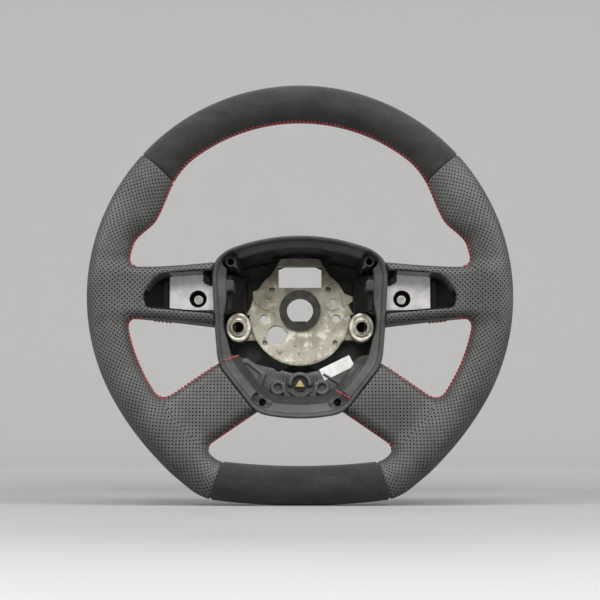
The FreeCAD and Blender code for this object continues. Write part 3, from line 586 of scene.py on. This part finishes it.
SKINS = {
    "top": ("top_suede", ["top_suede_wrap", "rim_foam"], "suede"),
    "bottom": ("bottom_suede", ["bottom_suede_wrap"], "suede"),
    "left": ("left_leather", ["left_leather_wrap"], "perforated_leather"),
    "right": ("right_leather", ["right_leather_wrap"], "perforated_leather"),
}


def mark_seams(shape, lines):
    """Stores each vertex's distance in millimetres from the nearest stitched line."""
    layer = shape.verts.layers.float.new("seam_away")
    spots = np.concatenate([even_steps(line, 0.7)[0] for line in lines])
    tree = KDTree(len(spots))
    for index, spot in enumerate(spots):
        tree.insert(spot, index)
    tree.balance()
    for vert in shape.verts:
        vert[layer] = tree.find(vert.co)[2]


def build_skins(materials, lines):
    whole = skin_mesh()
    leather_uv(whole)
    mark_seams(whole, lines)
    parts = [skin_part(face.calc_center_median()) for face in whole.faces]
    for key, (name, nodes, slot) in SKINS.items():
        piece_shape = whole.copy()
        piece_shape.faces.ensure_lookup_table()
        other = [face for face, part in zip(piece_shape.faces, parts) if part != key]
        bmesh.ops.delete(piece_shape, geom=other, context="FACES")
        edges = [edge for edge in piece_shape.edges if edge.is_boundary]
        bmesh.ops.holes_fill(piece_shape, edges=edges, sides=0)
        for vert in piece_shape.verts:
            vert.co = (vert.co.x * MM, -vert.co.y * MM, vert.co.z * MM)
        piece = new_piece(name, piece_shape, materials[slot])
        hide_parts(*nodes)
    whole.free()


# ---- stitches along the skin's inner edges

STITCH_PITCH = 3.5
STITCH_HALF = 1.9
STITCH_RADIUS = 0.6
STITCH_SINK = 0.6
STITCH_LEAN = 0.55
STITCH_STEPS = np.linspace(-1, 1, 7)

# Each run: the point it is seen from in front view, first and last direction in degrees, how far away it
# may lie, the skin's slant there (-1 faces away from the driver, 1 faces them), and if it is mirrored.
STITCH_RUNS = [
    ((0.0, 60.0), -16.5, 196.5, 180.0, 0.24, False),
    ((118.0, -42.0), -166.0, 62.0, 75.0, 0.22, True),
    ((118.0, -42.0), 62.0, 158.0, 75.0, -0.06, True),
    ((0.0, -126.0), -3.0, 37.0, 110.0, 0.22, True),
]


def trace_edge(centre, first, last, limit, slant):
    """Points on the skin round an opening, where the skin turns past a slant towards the driver."""
    angles = np.radians(np.arange(first, last, 1.0))
    radii = np.arange(8.0, limit, 1.5)
    lifts = np.arange(58.0, 101.0, 1.5)
    angle, lift, radius = np.meshgrid(angles, lifts, radii, indexing="ij", sparse=True)
    x, z = centre[0] + radius * np.cos(angle), centre[1] + radius * np.sin(angle)
    inside = skin_field(x, lift, z) < 0
    hit = inside.argmax(axis=2)
    found = inside.any(axis=2)
    rows = []
    for i, turn in enumerate(angles):
        chosen = np.flatnonzero(found[i])
        if len(chosen) < 4:
            continue
        reach = radii[hit[i, chosen]]
        x, z = centre[0] + reach * math.cos(turn), centre[1] + reach * math.sin(turn)
        spots = np.stack([x, lifts[chosen], z], axis=1)
        for _ in range(3):
            spots = pull(skin_field, spots)
        facing = gradient(skin_field, spots)
        facing = facing[:, 1] / np.linalg.norm(facing, axis=1)
        crossing = np.flatnonzero((facing[:-1] < slant) & (facing[1:] >= slant))
        if not len(crossing):
            continue
        low = crossing[-1]
        part = (slant - facing[low]) / (facing[low + 1] - facing[low])
        spot = spots[low] * (1 - part) + spots[low + 1] * part
        spot = pull(skin_field, spot[None])[0]
        if bowl_field(*spot) > 4.0:
            rows.append(spot)
    return np.array(rows)


def smooth_run(points, rounds=6):
    """Evens out a line, its ends staying where they are."""
    for _ in range(rounds):
        points[1:-1] = (points[:-2] + 2 * points[1:-1] + points[2:]) / 4
    return points


def longest_run(points, gap=9.0):
    """The longest part of a traced line without a jump."""
    jumps = np.flatnonzero(np.linalg.norm(np.diff(points, axis=0), axis=1) > gap)
    starts = np.concatenate([[0], jumps + 1])
    ends = np.concatenate([jumps + 1, [len(points)]])
    best = np.argmax(ends - starts)
    return points[starts[best]:ends[best]]


def between(points, places, marks):
    """Points at some marks along a line whose own points lie at known places."""
    return np.stack([np.interp(marks, places, points[:, axis]) for axis in range(3)], axis=1)


def even_steps(points, pitch):
    """Points at an even pitch along a line, with the direction there."""
    length = np.concatenate([[0], np.cumsum(np.linalg.norm(np.diff(points, axis=0), axis=1))])
    marks = np.arange(pitch, length[-1] - pitch, pitch)
    along = between(points, length, marks + 1.0) - between(points, length, marks - 1.0)
    return between(points, length, marks), along / np.linalg.norm(along, axis=1, keepdims=True)


def stitch_lines():
    """All stitched lines as arrays of (x, lift, z) points on the skin."""
    lines = []
    for *where, mirrored in STITCH_RUNS:
        line = smooth_run(longest_run(trace_edge(*where)))
        lines.append(line)
        if mirrored:
            lines.append(line * np.array([-1.0, 1.0, 1.0]))
    return lines


def tube(shape, line, radius, sides=7):
    """A closed round tube along a few points."""
    rings = []
    for index, point in enumerate(line):
        ahead = line[min(index + 1, len(line) - 1)] - line[max(index - 1, 0)]
        ahead = Vector(ahead).normalized()
        side = ahead.orthogonal().normalized()
        other = ahead.cross(side)
        ring = []
        for step in range(sides):
            turn = 2 * math.pi * step / sides
            spot = Vector(point) + (side * math.cos(turn) + other * math.sin(turn)) * radius
            ring.append(shape.verts.new(spot))
        rings.append(ring)
    align_rings(rings)
    skirt(shape, rings)
    shape.faces.new(rings[0][::-1])
    shape.faces.new(rings[-1])


def align_rings(rings):
    """Turns each ring's numbering so that the tube between two rings has no twist."""
    for before, ring in zip(rings, rings[1:]):
        turned = [ring[shift:] + ring[:shift] for shift in range(len(ring))]
        ring[:] = min(turned, key=lambda other: sum((a.co - b.co).length for a, b in zip(other, before)))


def build_stitches(lines, materials):
    rng = np.random.default_rng(7)
    shape = bmesh.new()
    for line in lines:
        spots, along = even_steps(line, STITCH_PITCH)
        normals = gradient(skin_field, spots, 0.4)
        normals /= np.linalg.norm(normals, axis=1, keepdims=True)
        across = np.cross(normals, along)
        for spot, ahead, out, side in zip(spots, along, normals, across):
            lean = STITCH_LEAN + rng.normal(0, 0.08)
            half = STITCH_HALF * (1 + rng.normal(0, 0.05))
            reach = side * half + ahead * half * lean
            points = spot + reach * STITCH_STEPS[:, None]
            for _ in range(2):
                points = pull(skin_field, points)
            rise = STITCH_RADIUS * 0.75 - (STITCH_SINK + STITCH_RADIUS) * np.abs(STITCH_STEPS) ** 3.5
            points = points + out * rise[:, None]
            tube(shape, to_frame(points), STITCH_RADIUS * MM)
    piece = new_piece("red_stitching", shape, materials["thread"])
    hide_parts("top_thread")


# ---- materials

GLOSS = "Specular IOR Level"


def new_material(name, fixed):
    """A material whose unvarying values are set on the shader's own sockets."""
    material = bpy.data.materials.new(name)
    material.use_nodes = True
    tree = material.node_tree
    shader = tree.nodes["Principled BSDF"]
    for socket, value in fixed.items():
        shader.inputs[socket].default_value = value
    return material, tree, shader


def feed(node, inputs):
    """Links or sets a node's inputs."""
    for key, value in inputs.items():
        if isinstance(value, bpy.types.NodeSocket):
            node.id_data.links.new(value, node.inputs[key])
        else:
            node.inputs[key].default_value = value
    return node


def beside(output, kind):
    """A new node in the same tree as an output."""
    return output.id_data.nodes.new("ShaderNode" + kind)


def place_mm(tree, turn=(0, 0, 0), stretch=(1, 1, 1)):
    """The piece's own coordinates in millimetres."""
    source = tree.nodes.new("ShaderNodeTexCoord").outputs["Object"]
    node = tree.nodes.new("ShaderNodeMapping")
    scale = [1000 * value for value in stretch]
    return feed(node, {"Vector": source, "Rotation": turn, "Scale": scale}).outputs["Vector"]


def noise(place, size, detail=4.0, rough=0.55):
    """Noise with features of about a size in millimetres, from 0 to 1."""
    node = beside(place, "TexNoise")
    inputs = {"Vector": place, "Scale": 1.0 / size, "Detail": detail, "Roughness": rough}
    return feed(node, inputs).outputs[0]


def cells(place, size, feature="F1", randomness=1.0, dimensions="3D"):
    node = beside(place, "TexVoronoi")
    node.voronoi_dimensions = dimensions
    node.feature = feature
    inputs = {"Vector": place, "Scale": 1.0 / size, "Randomness": randomness}
    return feed(node, inputs).outputs["Distance"]


def remap(value, low, high, to_low=0.0, to_high=1.0):
    node = beside(value, "MapRange")
    inputs = {"Value": value, "From Min": low, "From Max": high, "To Min": to_low, "To Max": to_high}
    return feed(node, inputs).outputs["Result"]


def sums(operation, a, b):
    """One arithmetic step on values or outputs."""
    node = beside(a, "Math")
    node.operation = operation
    return feed(node, {0: a, 1: b}).outputs[0]


def plus(a, b):
    return sums("ADD", a, b)


def times(a, b):
    return sums("MULTIPLY", a, b)


def distance(across, up):
    """Length of a two-way offset."""
    return sums("POWER", plus(times(across, across), times(up, up)), 0.5)


def split(place):
    """The outputs of a place's three parts, and how far it is aside of the middle."""
    axes = feed(beside(place, "SeparateXYZ"), {0: place}).outputs
    return axes["X"], axes["Y"], axes["Z"], sums("ABSOLUTE", axes["X"], 0.0)


def off_axis(aside, up, centre):
    """Distance from an axis along Y on either side of the middle."""
    return distance(sums("SUBTRACT", aside, centre[0]), sums("SUBTRACT", up, centre[1]))


def tint(amount, a, b):
    node = beside(amount, "Mix")
    node.data_type = "RGBA"
    a, b = [value if isinstance(value, bpy.types.NodeSocket) else (*value, 1.0) for value in (a, b)]
    return feed(node, {0: amount, 6: a, 7: b}).outputs[2]


def bump(height, depth, normal=None):
    """Relief of a depth in millimetres where height runs from 0 to 1."""
    node = beside(height, "Bump")
    inputs = {"Height": height, "Distance": depth * MM, "Strength": 1.0}
    if normal is not None:
        inputs["Normal"] = normal
    return feed(node, inputs).outputs["Normal"]


def attribute(tree, name):
    node = tree.nodes.new("ShaderNodeAttribute")
    node.attribute_name = name
    return node.outputs["Fac"]


HOLE_PITCH = 3.0
HOLE_RADIUS = 0.62


def perforated_leather():
    """Black leather with an even grid of punched holes and a crease beside each seam, both darkened with
    painted shade.
    """
    material, tree, shader = new_material("perforated leather", {"IOR": 1.45})
    place = place_mm(tree)
    uv = tree.nodes.new("ShaderNodeUVMap")
    uv.uv_map = "leather"
    turned = feed(tree.nodes.new("ShaderNodeMapping"),
                  {"Vector": uv.outputs["UV"], "Rotation": (0, 0, math.radians(45))}).outputs["Vector"]
    away = cells(turned, HOLE_PITCH, randomness=0.0, dimensions="2D")
    hole = remap(away, HOLE_RADIUS / HOLE_PITCH * 1.2, HOLE_RADIUS / HOLE_PITCH * 0.85)
    grain = cells(place, 1.1, feature="DISTANCE_TO_EDGE")
    grain = remap(grain, 0.0, 0.22)
    creases = noise(place, 6.0, 5.0)
    patches = noise(place, 38.0, 3.0)
    wear = remap(patches, 0.35, 0.7)
    base = tint(wear, (0.042, 0.0425, 0.0413), (0.070, 0.0705, 0.068))
    base = tint(remap(grain, 0.0, 1.0, 0.35, 0.0), base, (0.02, 0.02, 0.02))
    # Each punched hole is painted near black: painted shade inside the hole.
    base = tint(times(hole, 0.97), base, (0.001, 0.001, 0.001))
    seam = remap(attribute(tree, "seam_away"), 0.0, 1.7, 1.0, 0.0)
    # Painted shade darkens the crease beside each stitched seam.
    base = tint(times(seam, 0.6), base, (0.008, 0.008, 0.008))
    worn = plus(creases, times(patches, 0.6))
    rough = remap(worn, 0.5, 1.1, 0.60, 0.46)
    normal = bump(grain, 0.05)
    normal = bump(creases, 0.25, normal)
    normal = bump(times(hole, -1.0), 0.35, normal)
    normal = bump(times(seam, -1.0), 0.9, normal)
    gloss = remap(hole, 0.0, 1.0, 0.5, 0.0)
    feed(shader, {"Base Color": base, "Roughness": rough, "Normal": normal, GLOSS: gloss})
    return material


def suede():
    fixed = {"Sheen Weight": 0.15, "Sheen Roughness": 0.45, GLOSS: 0.25}
    material, tree, shader = new_material("suede", fixed)
    place = place_mm(tree)
    nap = noise(place, 0.55, 3.0, 0.7)
    clumps = noise(place, 2.6, 4.0, 0.6)
    strokes = noise(place_mm(tree, stretch=(0.6, 1.0, 1.6)), 17.0, 3.0)
    shade = plus(times(clumps, 0.5), times(strokes, 0.5))
    shade = remap(shade, 0.36, 0.64)
    base = tint(shade, (0.0075, 0.0075, 0.0073), (0.018, 0.018, 0.017))
    base = tint(remap(nap, 0.35, 0.75, 0.0, 0.5), base, (0.042, 0.0415, 0.039))
    seam = remap(attribute(tree, "seam_away"), 0.0, 1.7, 1.0, 0.0)
    # Painted shade darkens the crease beside each stitched seam.
    base = tint(times(seam, 0.6), base, (0.005, 0.005, 0.005))
    rough = remap(strokes, 0.3, 0.7, 0.98, 0.84)
    normal = bump(nap, 0.12)
    normal = bump(clumps, 0.22, normal)
    normal = bump(times(seam, -1.0), 0.9, normal)
    feed(shader, {"Base Color": base, "Roughness": rough, "Normal": normal})
    return material


def cast_alloy():
    """Stained olive casting, bright under the switches, dark under plastic, painted shade by plate and
    screw.
    """
    material, tree, shader = new_material("cast alloy", {})
    place = place_mm(tree)
    skin = noise(place, 0.9, 4.0, 0.65)
    stains = noise(place, 9.0, 6.0, 0.62)
    film = noise(place, 26.0, 3.0)
    x, _, up, aside = split(place)
    clean = remap(aside, 62.0, 76.0)
    olive = tint(remap(film, 0.35, 0.65), (0.36, 0.335, 0.25), (0.58, 0.55, 0.455))
    olive = tint(remap(stains, 0.60, 0.70, 0.0, 0.75), olive, (0.06, 0.052, 0.036))
    olive = tint(remap(stains, 0.48, 0.36, 0.0, 0.85), olive, (0.78, 0.755, 0.67))
    bright = tint(remap(stains, 0.35, 0.68), (0.93, 0.90, 0.91), (0.70, 0.68, 0.68))
    radius = distance(x, plus(up, 5.0))
    gable = plus(aside, times(up, 0.62))
    # Darker and browner towards the top of the plate.
    top_darkening = times(remap(up, -24.0, 22.0), remap(film, 0.3, 0.6, 0.95, 0.70))
    olive = tint(top_darkening, olive, (0.085, 0.073, 0.042))
    # Past the plate's edge the casting is painted near black: a stand-in for the plastic over the arms, and
    # painted shade beside the plate.
    arms = sums("MAXIMUM", remap(gable, 47.2, 48.0), remap(up, -33.0, -34.0))
    past_plate = times(remap(radius, 46.1, 46.6), arms)
    olive = tint(past_plate, olive, (0.012, 0.012, 0.011))
    # Painted black at the arm's end, where the pocket liner covers it, and painted shade in the cup round
    # the screw at the anchor.
    liner_end_and_screw_shade = remap(aside, 116.6, 117.2)
    liner_end_and_screw_shade = sums("MAXIMUM", liner_end_and_screw_shade, remap(off_axis(aside, up, ANCHOR), 7.9, 7.6))
    base = tint(liner_end_and_screw_shade, tint(clean, olive, bright), (0.005, 0.005, 0.005))
    # Where the casting is painted black, as plastic or as painted shade, it also loses its gloss and metal.
    hidden_or_shaded = sums("MAXIMUM", past_plate, liner_end_and_screw_shade)
    rough = remap(stains, 0.3, 0.7, 0.42, 0.66)
    gloss = remap(hidden_or_shaded, 0.0, 1.0, 0.5, 0.06)
    metal = remap(stains, 0.45, 0.70, 0.30, 0.08)
    metal = times(metal, remap(hidden_or_shaded, 0.0, 1.0, 1.0, 0.0))
    normal = bump(skin, 0.12)
    normal = bump(stains, 0.25, normal)
    feed(shader, {"Base Color": base, "Roughness": rough, "Metallic": metal, "Normal": normal,
                  GLOSS: gloss})
    return material


def rings(place, centre, pitch):
    """Fine turned rings about an axis along Y through a point, given in millimetres."""
    _, _, up, aside = split(place)
    radius = off_axis(aside, up, centre)
    wobble = noise(place, 3.0, 2.0)
    phase = plus(times(radius, 2 * math.pi / pitch), wobble)
    return radius, sums("SINE", phase, 0.0)


def turned_metal(name, dark, light, rough_range, centre, pitch, metal=0.95, shade_radii=None):
    """Turned metal about an axis along Y, dirty in the grooves, and black with painted shade past a radius.
    """
    material, tree, shader = new_material(name, {})
    place = place_mm(tree)
    radius, turned = rings(place, centre, pitch)
    stains = noise(place, 6.0, 4.0, 0.5)
    base = tint(remap(stains, 0.35, 0.65), dark, light)
    dirt = [value * 0.35 for value in dark]
    base = tint(remap(turned, 0.2, 1.0, 0.0, 0.55), base, dirt)
    shown = {"Metallic": metal}
    if shade_radii:
        # Painted shade: black and without gloss where the hole round the piece or its bore lies in shadow.
        hole_shade = remap(radius, *shade_radii)
        base = tint(hole_shade, base, (0.004, 0.004, 0.004))
        shown = {"Metallic": remap(hole_shade, 0.0, 1.0, metal, 0.0),
                 GLOSS: remap(hole_shade, 0.0, 1.0, 0.5, 0.05)}
    low, high = rough_range
    rough = remap(noise(place, 2.4, 3.0), 0.3, 0.7, low, high)
    normal = bump(turned, 0.012)
    feed(shader, {"Base Color": base, "Roughness": rough, "Normal": normal, **shown})
    return material


def moulded(name, dark, light, rough_range, grain_size, grain_depth, gloss=0.5):
    """Moulded plastic or rubber: fine grain, slow colour change, and dust lying in patches."""
    material, tree, shader = new_material(name, {GLOSS: gloss})
    place = place_mm(tree)
    grain = cells(place, grain_size)
    haze = noise(place, 14.0, 5.0, 0.6)
    scuffs = noise(place_mm(tree, turn=(0.3, 0.5, 0.2), stretch=(1, 1, 0.12)), 2.4, 4.0, 0.7)
    base = tint(remap(haze, 0.32, 0.70), dark, light)
    lighter = [min(1.0, value * 1.9) for value in light]
    base = tint(remap(scuffs, 0.64, 0.78, 0.0, 0.5), base, lighter)
    low, high = rough_range
    rough = remap(plus(haze, times(scuffs, 0.5)), 0.5, 1.0, high, low)
    normal = bump(grain, grain_depth)
    normal = bump(haze, 0.10, normal)
    feed(shader, {"Base Color": base, "Roughness": rough, "Normal": normal})
    return material


def twisted_thread():
    fixed = {"Sheen Weight": 0.3, "Sheen Roughness": 0.4, GLOSS: 0.4}
    material, tree, shader = new_material("red thread", fixed)
    place = place_mm(tree, turn=(0.5, 0.4, 0.3))
    fibres = noise(place, 0.35, 3.0, 0.6)
    dirt = noise(place, 9.0, 3.0)
    base = tint(remap(fibres, 0.3, 0.7), (0.24, 0.009, 0.014), (0.46, 0.022, 0.028))
    base = tint(remap(dirt, 0.5, 0.75, 0.0, 0.5), base, (0.16, 0.010, 0.012))
    rough = remap(dirt, 0.3, 0.7, 0.6, 0.8)
    normal = bump(fibres, 0.12)
    feed(shader, {"Base Color": base, "Roughness": rough, "Normal": normal})
    return material


def label_paper():
    material, tree, shader = new_material("label paper", {GLOSS: 0.5})
    place = place_mm(tree)
    fibres = noise(place, 0.8, 4.0)
    marks = noise(place, 6.0, 4.0)
    base = tint(remap(marks, 0.4, 0.75), (0.64, 0.645, 0.63), (0.48, 0.475, 0.45))
    rough = remap(marks, 0.3, 0.7, 0.42, 0.58)
    feed(shader, {"Base Color": base, "Roughness": rough, "Normal": bump(fibres, 0.02)})
    return material


# Darkest and lightest colour, range of roughness, size and depth of the grain in millimetres, and gloss.
MOULDED = {
    "core_steel": ((0.10, 0.10, 0.10), (0.2, 0.19, 0.18), (0.4, 0.6), 0.7, 0.05),
    "black_plastic": ((0.005, 0.005, 0.0055), (0.010, 0.0095, 0.0095), (0.34, 0.52), 0.8, 0.05, 0.28),
    "tab_casting": ((0.22, 0.20, 0.135), (0.34, 0.32, 0.235), (0.45, 0.6), 0.9, 0.12),
    # A lighter copy of the black plastic for the bowl: painted light on its lip and flanges.
    "lit_shell_plastic": ((0.017, 0.0175, 0.017), (0.034, 0.035, 0.033), (0.38, 0.56), 0.8, 0.05, 0.35),
    # A still lighter copy of the black plastic for the tray: painted light falling on it from above.
    "lit_tray_plastic": ((0.030, 0.033, 0.029), (0.062, 0.067, 0.060), (0.40, 0.58), 0.8, 0.05, 0.4),
    "gloss_black": ((0.003, 0.003, 0.003), (0.007, 0.007, 0.007), (0.08, 0.2), 2.5, 0.008, 0.3),
    "rubber": ((0.010, 0.010, 0.010), (0.020, 0.020, 0.020), (0.5, 0.7), 0.6, 0.03),
}
# Darkest and lightest colour, range of roughness, centre and pitch of the turning in millimetres, how
# metallic it is, and between which two radii it turns black with painted shade of a hole.
TURNED = {
    "boss_steel": ((0.012, 0.011, 0.008), (0.042, 0.039, 0.029), (0.36, 0.52), (0.0, 0.0), 0.9, 0.55),
    # The screw turns black past its head: painted shade in the hole round it.
    "screw_steel": ((0.34, 0.33, 0.32), (0.58, 0.57, 0.55), (0.3, 0.45), ANCHOR, 1.9, 0.45, (4.6, 5.0)),
    # The socket turns black inside its bore: painted shade down the bore.
    "machined_alloy": ((0.38, 0.35, 0.28), (0.66, 0.63, 0.54), (0.32, 0.48), SOCKET_AT, 1.6, 0.6,
                       (5.2, 4.8)),
    "spring_steel": ((0.05, 0.05, 0.055), (0.12, 0.12, 0.125), (0.14, 0.28), SOCKET_AT, 0.9),
    "contact_brass": ((0.36, 0.26, 0.12), (0.50, 0.38, 0.19), (0.28, 0.42), TRAY_DOME, 0.8),
}


def build_materials():
    materials = {
        "perforated_leather": perforated_leather(),
        "suede": suede(),
        "cast_alloy": cast_alloy(),
        "thread": twisted_thread(),
        "label_paper": label_paper(),
    }
    for slot, finish in MOULDED.items():
        materials[slot] = moulded(slot.replace("_", " "), *finish)
    for slot, finish in TURNED.items():
        materials[slot] = turned_metal(slot.replace("_", " "), *finish)
    return materials


# ---- moulded plastic pieces

def sided(field, sign):
    """The part of a mirrored field that lies on one side of the middle."""
    return lambda x, lift, z: common(field(x, lift, z), -sign * x + 2.0, 0.2)


def build_moulding(name, field, low, high, step, material, nodes):
    """One piece from a distance field, searched in a box at a step, in place of some CAD nodes."""
    points, faces = surface(field, low, high, step)
    piece = new_piece(name, filled(to_frame(points), faces), material)
    if nodes:
        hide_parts(*nodes)


def build_plastics(materials):
    """The bowl, the tray, the hub plate's tabs and the two arm covers."""
    build_moulding("bowl_moulding", shell_field, (-82, -7, -106), (82, 84, 65), 1.25,
                   materials["lit_shell_plastic"], ["rear_cover", "bowl_trim"])
    build_moulding("tray_moulding", tray_field, (-73, 43, -99), (73, 66, -34), 0.8,
                   materials["lit_tray_plastic"], ["lower_tray"])
    build_moulding("plate_tabs", tabs_field, (-48, 14, -2), (57, 22, 24), 0.7,
                   materials["tab_casting"], [])
    for side, sign in (("left", -1), ("right", 1)):
        low, high = sorted((sign * 45.0, sign * 78.0))
        build_moulding(f"{side}_arm_cover", sided(cover_field, sign), (low, 8, -10), (high, 71, 34), 1.0,
                       materials["black_plastic"], [f"{side}_arm_shroud"])


# ---- short thread ends left at the bowl's lip

THREAD_ENDS = [
    [(-67.5, 81.4, -50.6), (-64.5, 80.4, -50.2), (-60.5, 78.4, -48.0), (-57.0, 75.8, -46.8),
     (-54.2, 73.4, -45.6)],
    [(31.5, 73.0, -75.8), (33.6, 74.5, -77.6), (37.5, 77.4, -79.8), (42.0, 80.6, -82.6),
     (44.5, 81.4, -84.6)],
]
THREAD_RADIUS = 0.42


def build_thread_ends(materials):
    shape = bmesh.new()
    for line in THREAD_ENDS:
        points = np.array(line)
        steps = np.linspace(0, len(points) - 1, 17)
        fine = between(points, np.arange(len(points)), steps)
        tube(shape, to_frame(smooth_run(fine, 3)), THREAD_RADIUS * MM)
    piece = new_piece("thread_ends", shape, materials["thread"])


# ---- the airbag sockets, with their turned rings

SOCKET_HALF = (11.2, 13.6)
# Each ring of the socket's face from its foot to its bore: how far in from the outside, and lift.
SOCKET_PROFILE = [
    (0.0, 14.0), (0.0, 33.6), (0.35, 34.2), (1.5, 34.3), (1.8, 34.0), (2.0, 33.0), (2.5, 33.0),
    (2.7, 35.6), (3.0, 35.9), (3.8, 35.9), (4.0, 35.5), (4.2, 34.4), (4.6, 34.4), (4.8, 36.7),
    (5.1, 37.0), (5.7, 37.0), (6.0, 36.7), (6.3, 35.2), (6.3, 17.0),
]
SOCKET_BORE = 4.9
SOCKET_TURNS = 64


def build_sockets(materials):
    """Oval outside, round at the bore."""
    for side, sign in (("left", -1), ("right", 1)):
        shape = bmesh.new()
        rings = []
        for inset, lift in SOCKET_PROFILE:
            fade = min(1.0, inset / SOCKET_PROFILE[-1][0])
            wide = (SOCKET_HALF[0] - inset) * (1 - fade) + SOCKET_BORE * fade
            high = (SOCKET_HALF[1] - inset) * (1 - fade) + SOCKET_BORE * fade
            ring = []
            for step in range(SOCKET_TURNS):
                turn = 2 * math.pi * step / SOCKET_TURNS
                x = sign * SOCKET_AT[0] + wide * math.cos(turn)
                z = SOCKET_AT[1] + high * math.sin(turn)
                ring.append(shape.verts.new((x * MM, -lift * MM, z * MM)))
            rings.append(ring)
        skirt(shape, rings)
        shape.faces.new(rings[0])
        shape.faces.new(rings[-1])
        piece = new_piece(f"{side}_turned_socket", shape, materials["machined_alloy"])
        piece.data.set_sharp_from_angle(angle=math.radians(35))
        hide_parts(f"{side}_pin_socket")


# ---- the CAD's own pieces

def dress_cad(materials):
    """Gives every shown CAD node its finish."""
    slots = {entry["node"]: entry["material_slot"] for entry in frame["record"]["subparts"]}
    for name, node in frame["nodes"].items():
        if name.endswith("_wrap") or name in ("rim_foam", "top_thread"):
            continue
        material = materials[slots[name]]
        node.data.materials.clear()
        node.data.materials.append(material)


# ---- floor, light and camera

# In metres, except the pitch in degrees and the lens in millimetres.
FLOOR_Z = -0.1764
FLOOR_REACH = 3.2
FLOOR_CURVE = 2.2
FLOOR_TOP = 3.4
FLOOR_TURNS = 96
CAMERA_PLACE = (0.0, -1.2264, -0.1321)
CAMERA_PITCH = 6.715
CAMERA_LENS = 78.4


def far_away(place):
    """0 on the floor round the object, rising to 1 far away."""
    x, y, _, _ = split(place)
    return remap(distance(x, y), 500.0, 2600.0)


def build_floor():
    """A level round floor that curves up far away on all sides."""
    profile = [(reach, 0.0) for reach in np.linspace(0.2, FLOOR_REACH, 16)]
    for turn in np.linspace(0.0, math.pi / 2, 16)[1:]:
        profile.append((FLOOR_REACH + FLOOR_CURVE * math.sin(turn), FLOOR_CURVE * (1 - math.cos(turn))))
    profile.append((FLOOR_REACH + FLOOR_CURVE, FLOOR_TOP))
    shape = bmesh.new()
    middle = shape.verts.new((0.0, 0.0, FLOOR_Z))
    turns = [2 * math.pi * step / FLOOR_TURNS for step in range(FLOOR_TURNS)]
    rings = []
    for reach, rise in profile:
        spots = [(reach * math.cos(turn), reach * math.sin(turn), FLOOR_Z + rise) for turn in turns]
        rings.append([shape.verts.new(spot) for spot in spots])
    for a, b in zip(rings[0], rings[0][1:] + rings[0][:1]):
        shape.faces.new([middle, a, b])
    skirt(shape, rings[::-1])
    mesh = bpy.data.meshes.new("floor")
    shape.to_mesh(mesh)
    shape.free()
    mesh.shade_smooth()
    material, tree, shader = new_material("floor", {GLOSS: 0.2})
    place = place_mm(tree)
    cloud = noise(place, 260.0, 3.0)
    base = tint(remap(cloud, 0.3, 0.7), (0.27, 0.267, 0.26), (0.295, 0.292, 0.285))
    base = tint(far_away(place), base, (0.94, 0.935, 0.925))
    feed(shader, {"Base Color": base, "Roughness": remap(cloud, 0.3, 0.7, 0.75, 0.85)})
    mesh.materials.append(material)
    floor = link_object("floor", mesh)


def build_camera():
    camera = bpy.data.cameras.new("camera")
    camera.lens = CAMERA_LENS
    camera.sensor_width = 36.0
    camera.clip_end = 60.0
    holder = link_object("camera", camera)
    holder.location = CAMERA_PLACE
    holder.rotation_euler = (math.radians(90 + CAMERA_PITCH), 0.0, 0.0)
    bpy.context.scene.camera = holder


def soft_light(name, place, size, power):
    """A broad light aimed at the middle of the boss, in metres and watts."""
    light = bpy.data.lights.new(name, "AREA")
    light.shape = "RECTANGLE"
    light.size, light.size_y = size
    light.energy = power
    holder = link_object(name, light)
    holder.location = place
    holder.rotation_euler = (-Vector(place)).to_track_quat("-Z", "Y").to_euler()


def build_light():
    soft_light("over", (0.0, -0.7, 1.5), (1.4, 0.9), 27.0)
    soft_light("left", (-1.5, -0.8, 0.8), (0.5, 1.3), 22.0)
    soft_light("right", (1.5, -0.8, 0.8), (0.7, 1.3), 25.0)
    soft_light("front", (0.0, -2.0, 0.9), (1.4, 0.8), 25.0)
    world = bpy.data.worlds.new("world")
    world.use_nodes = True
    shade = world.node_tree.nodes["Background"]
    shade.inputs["Color"].default_value = (0.86, 0.86, 0.87, 1.0)
    shade.inputs["Strength"].default_value = 0.40
    bpy.context.scene.world = world
    bpy.context.scene.view_settings.view_transform = "Standard"


# ---- everything together

build_camera()
build_light()
build_floor()
looks = build_materials()
dress_cad(looks)
stitching = stitch_lines()
build_skins(looks, stitching)
build_stitches(stitching, looks)
build_sockets(looks)
build_plastics(looks)
build_thread_ends(looks)
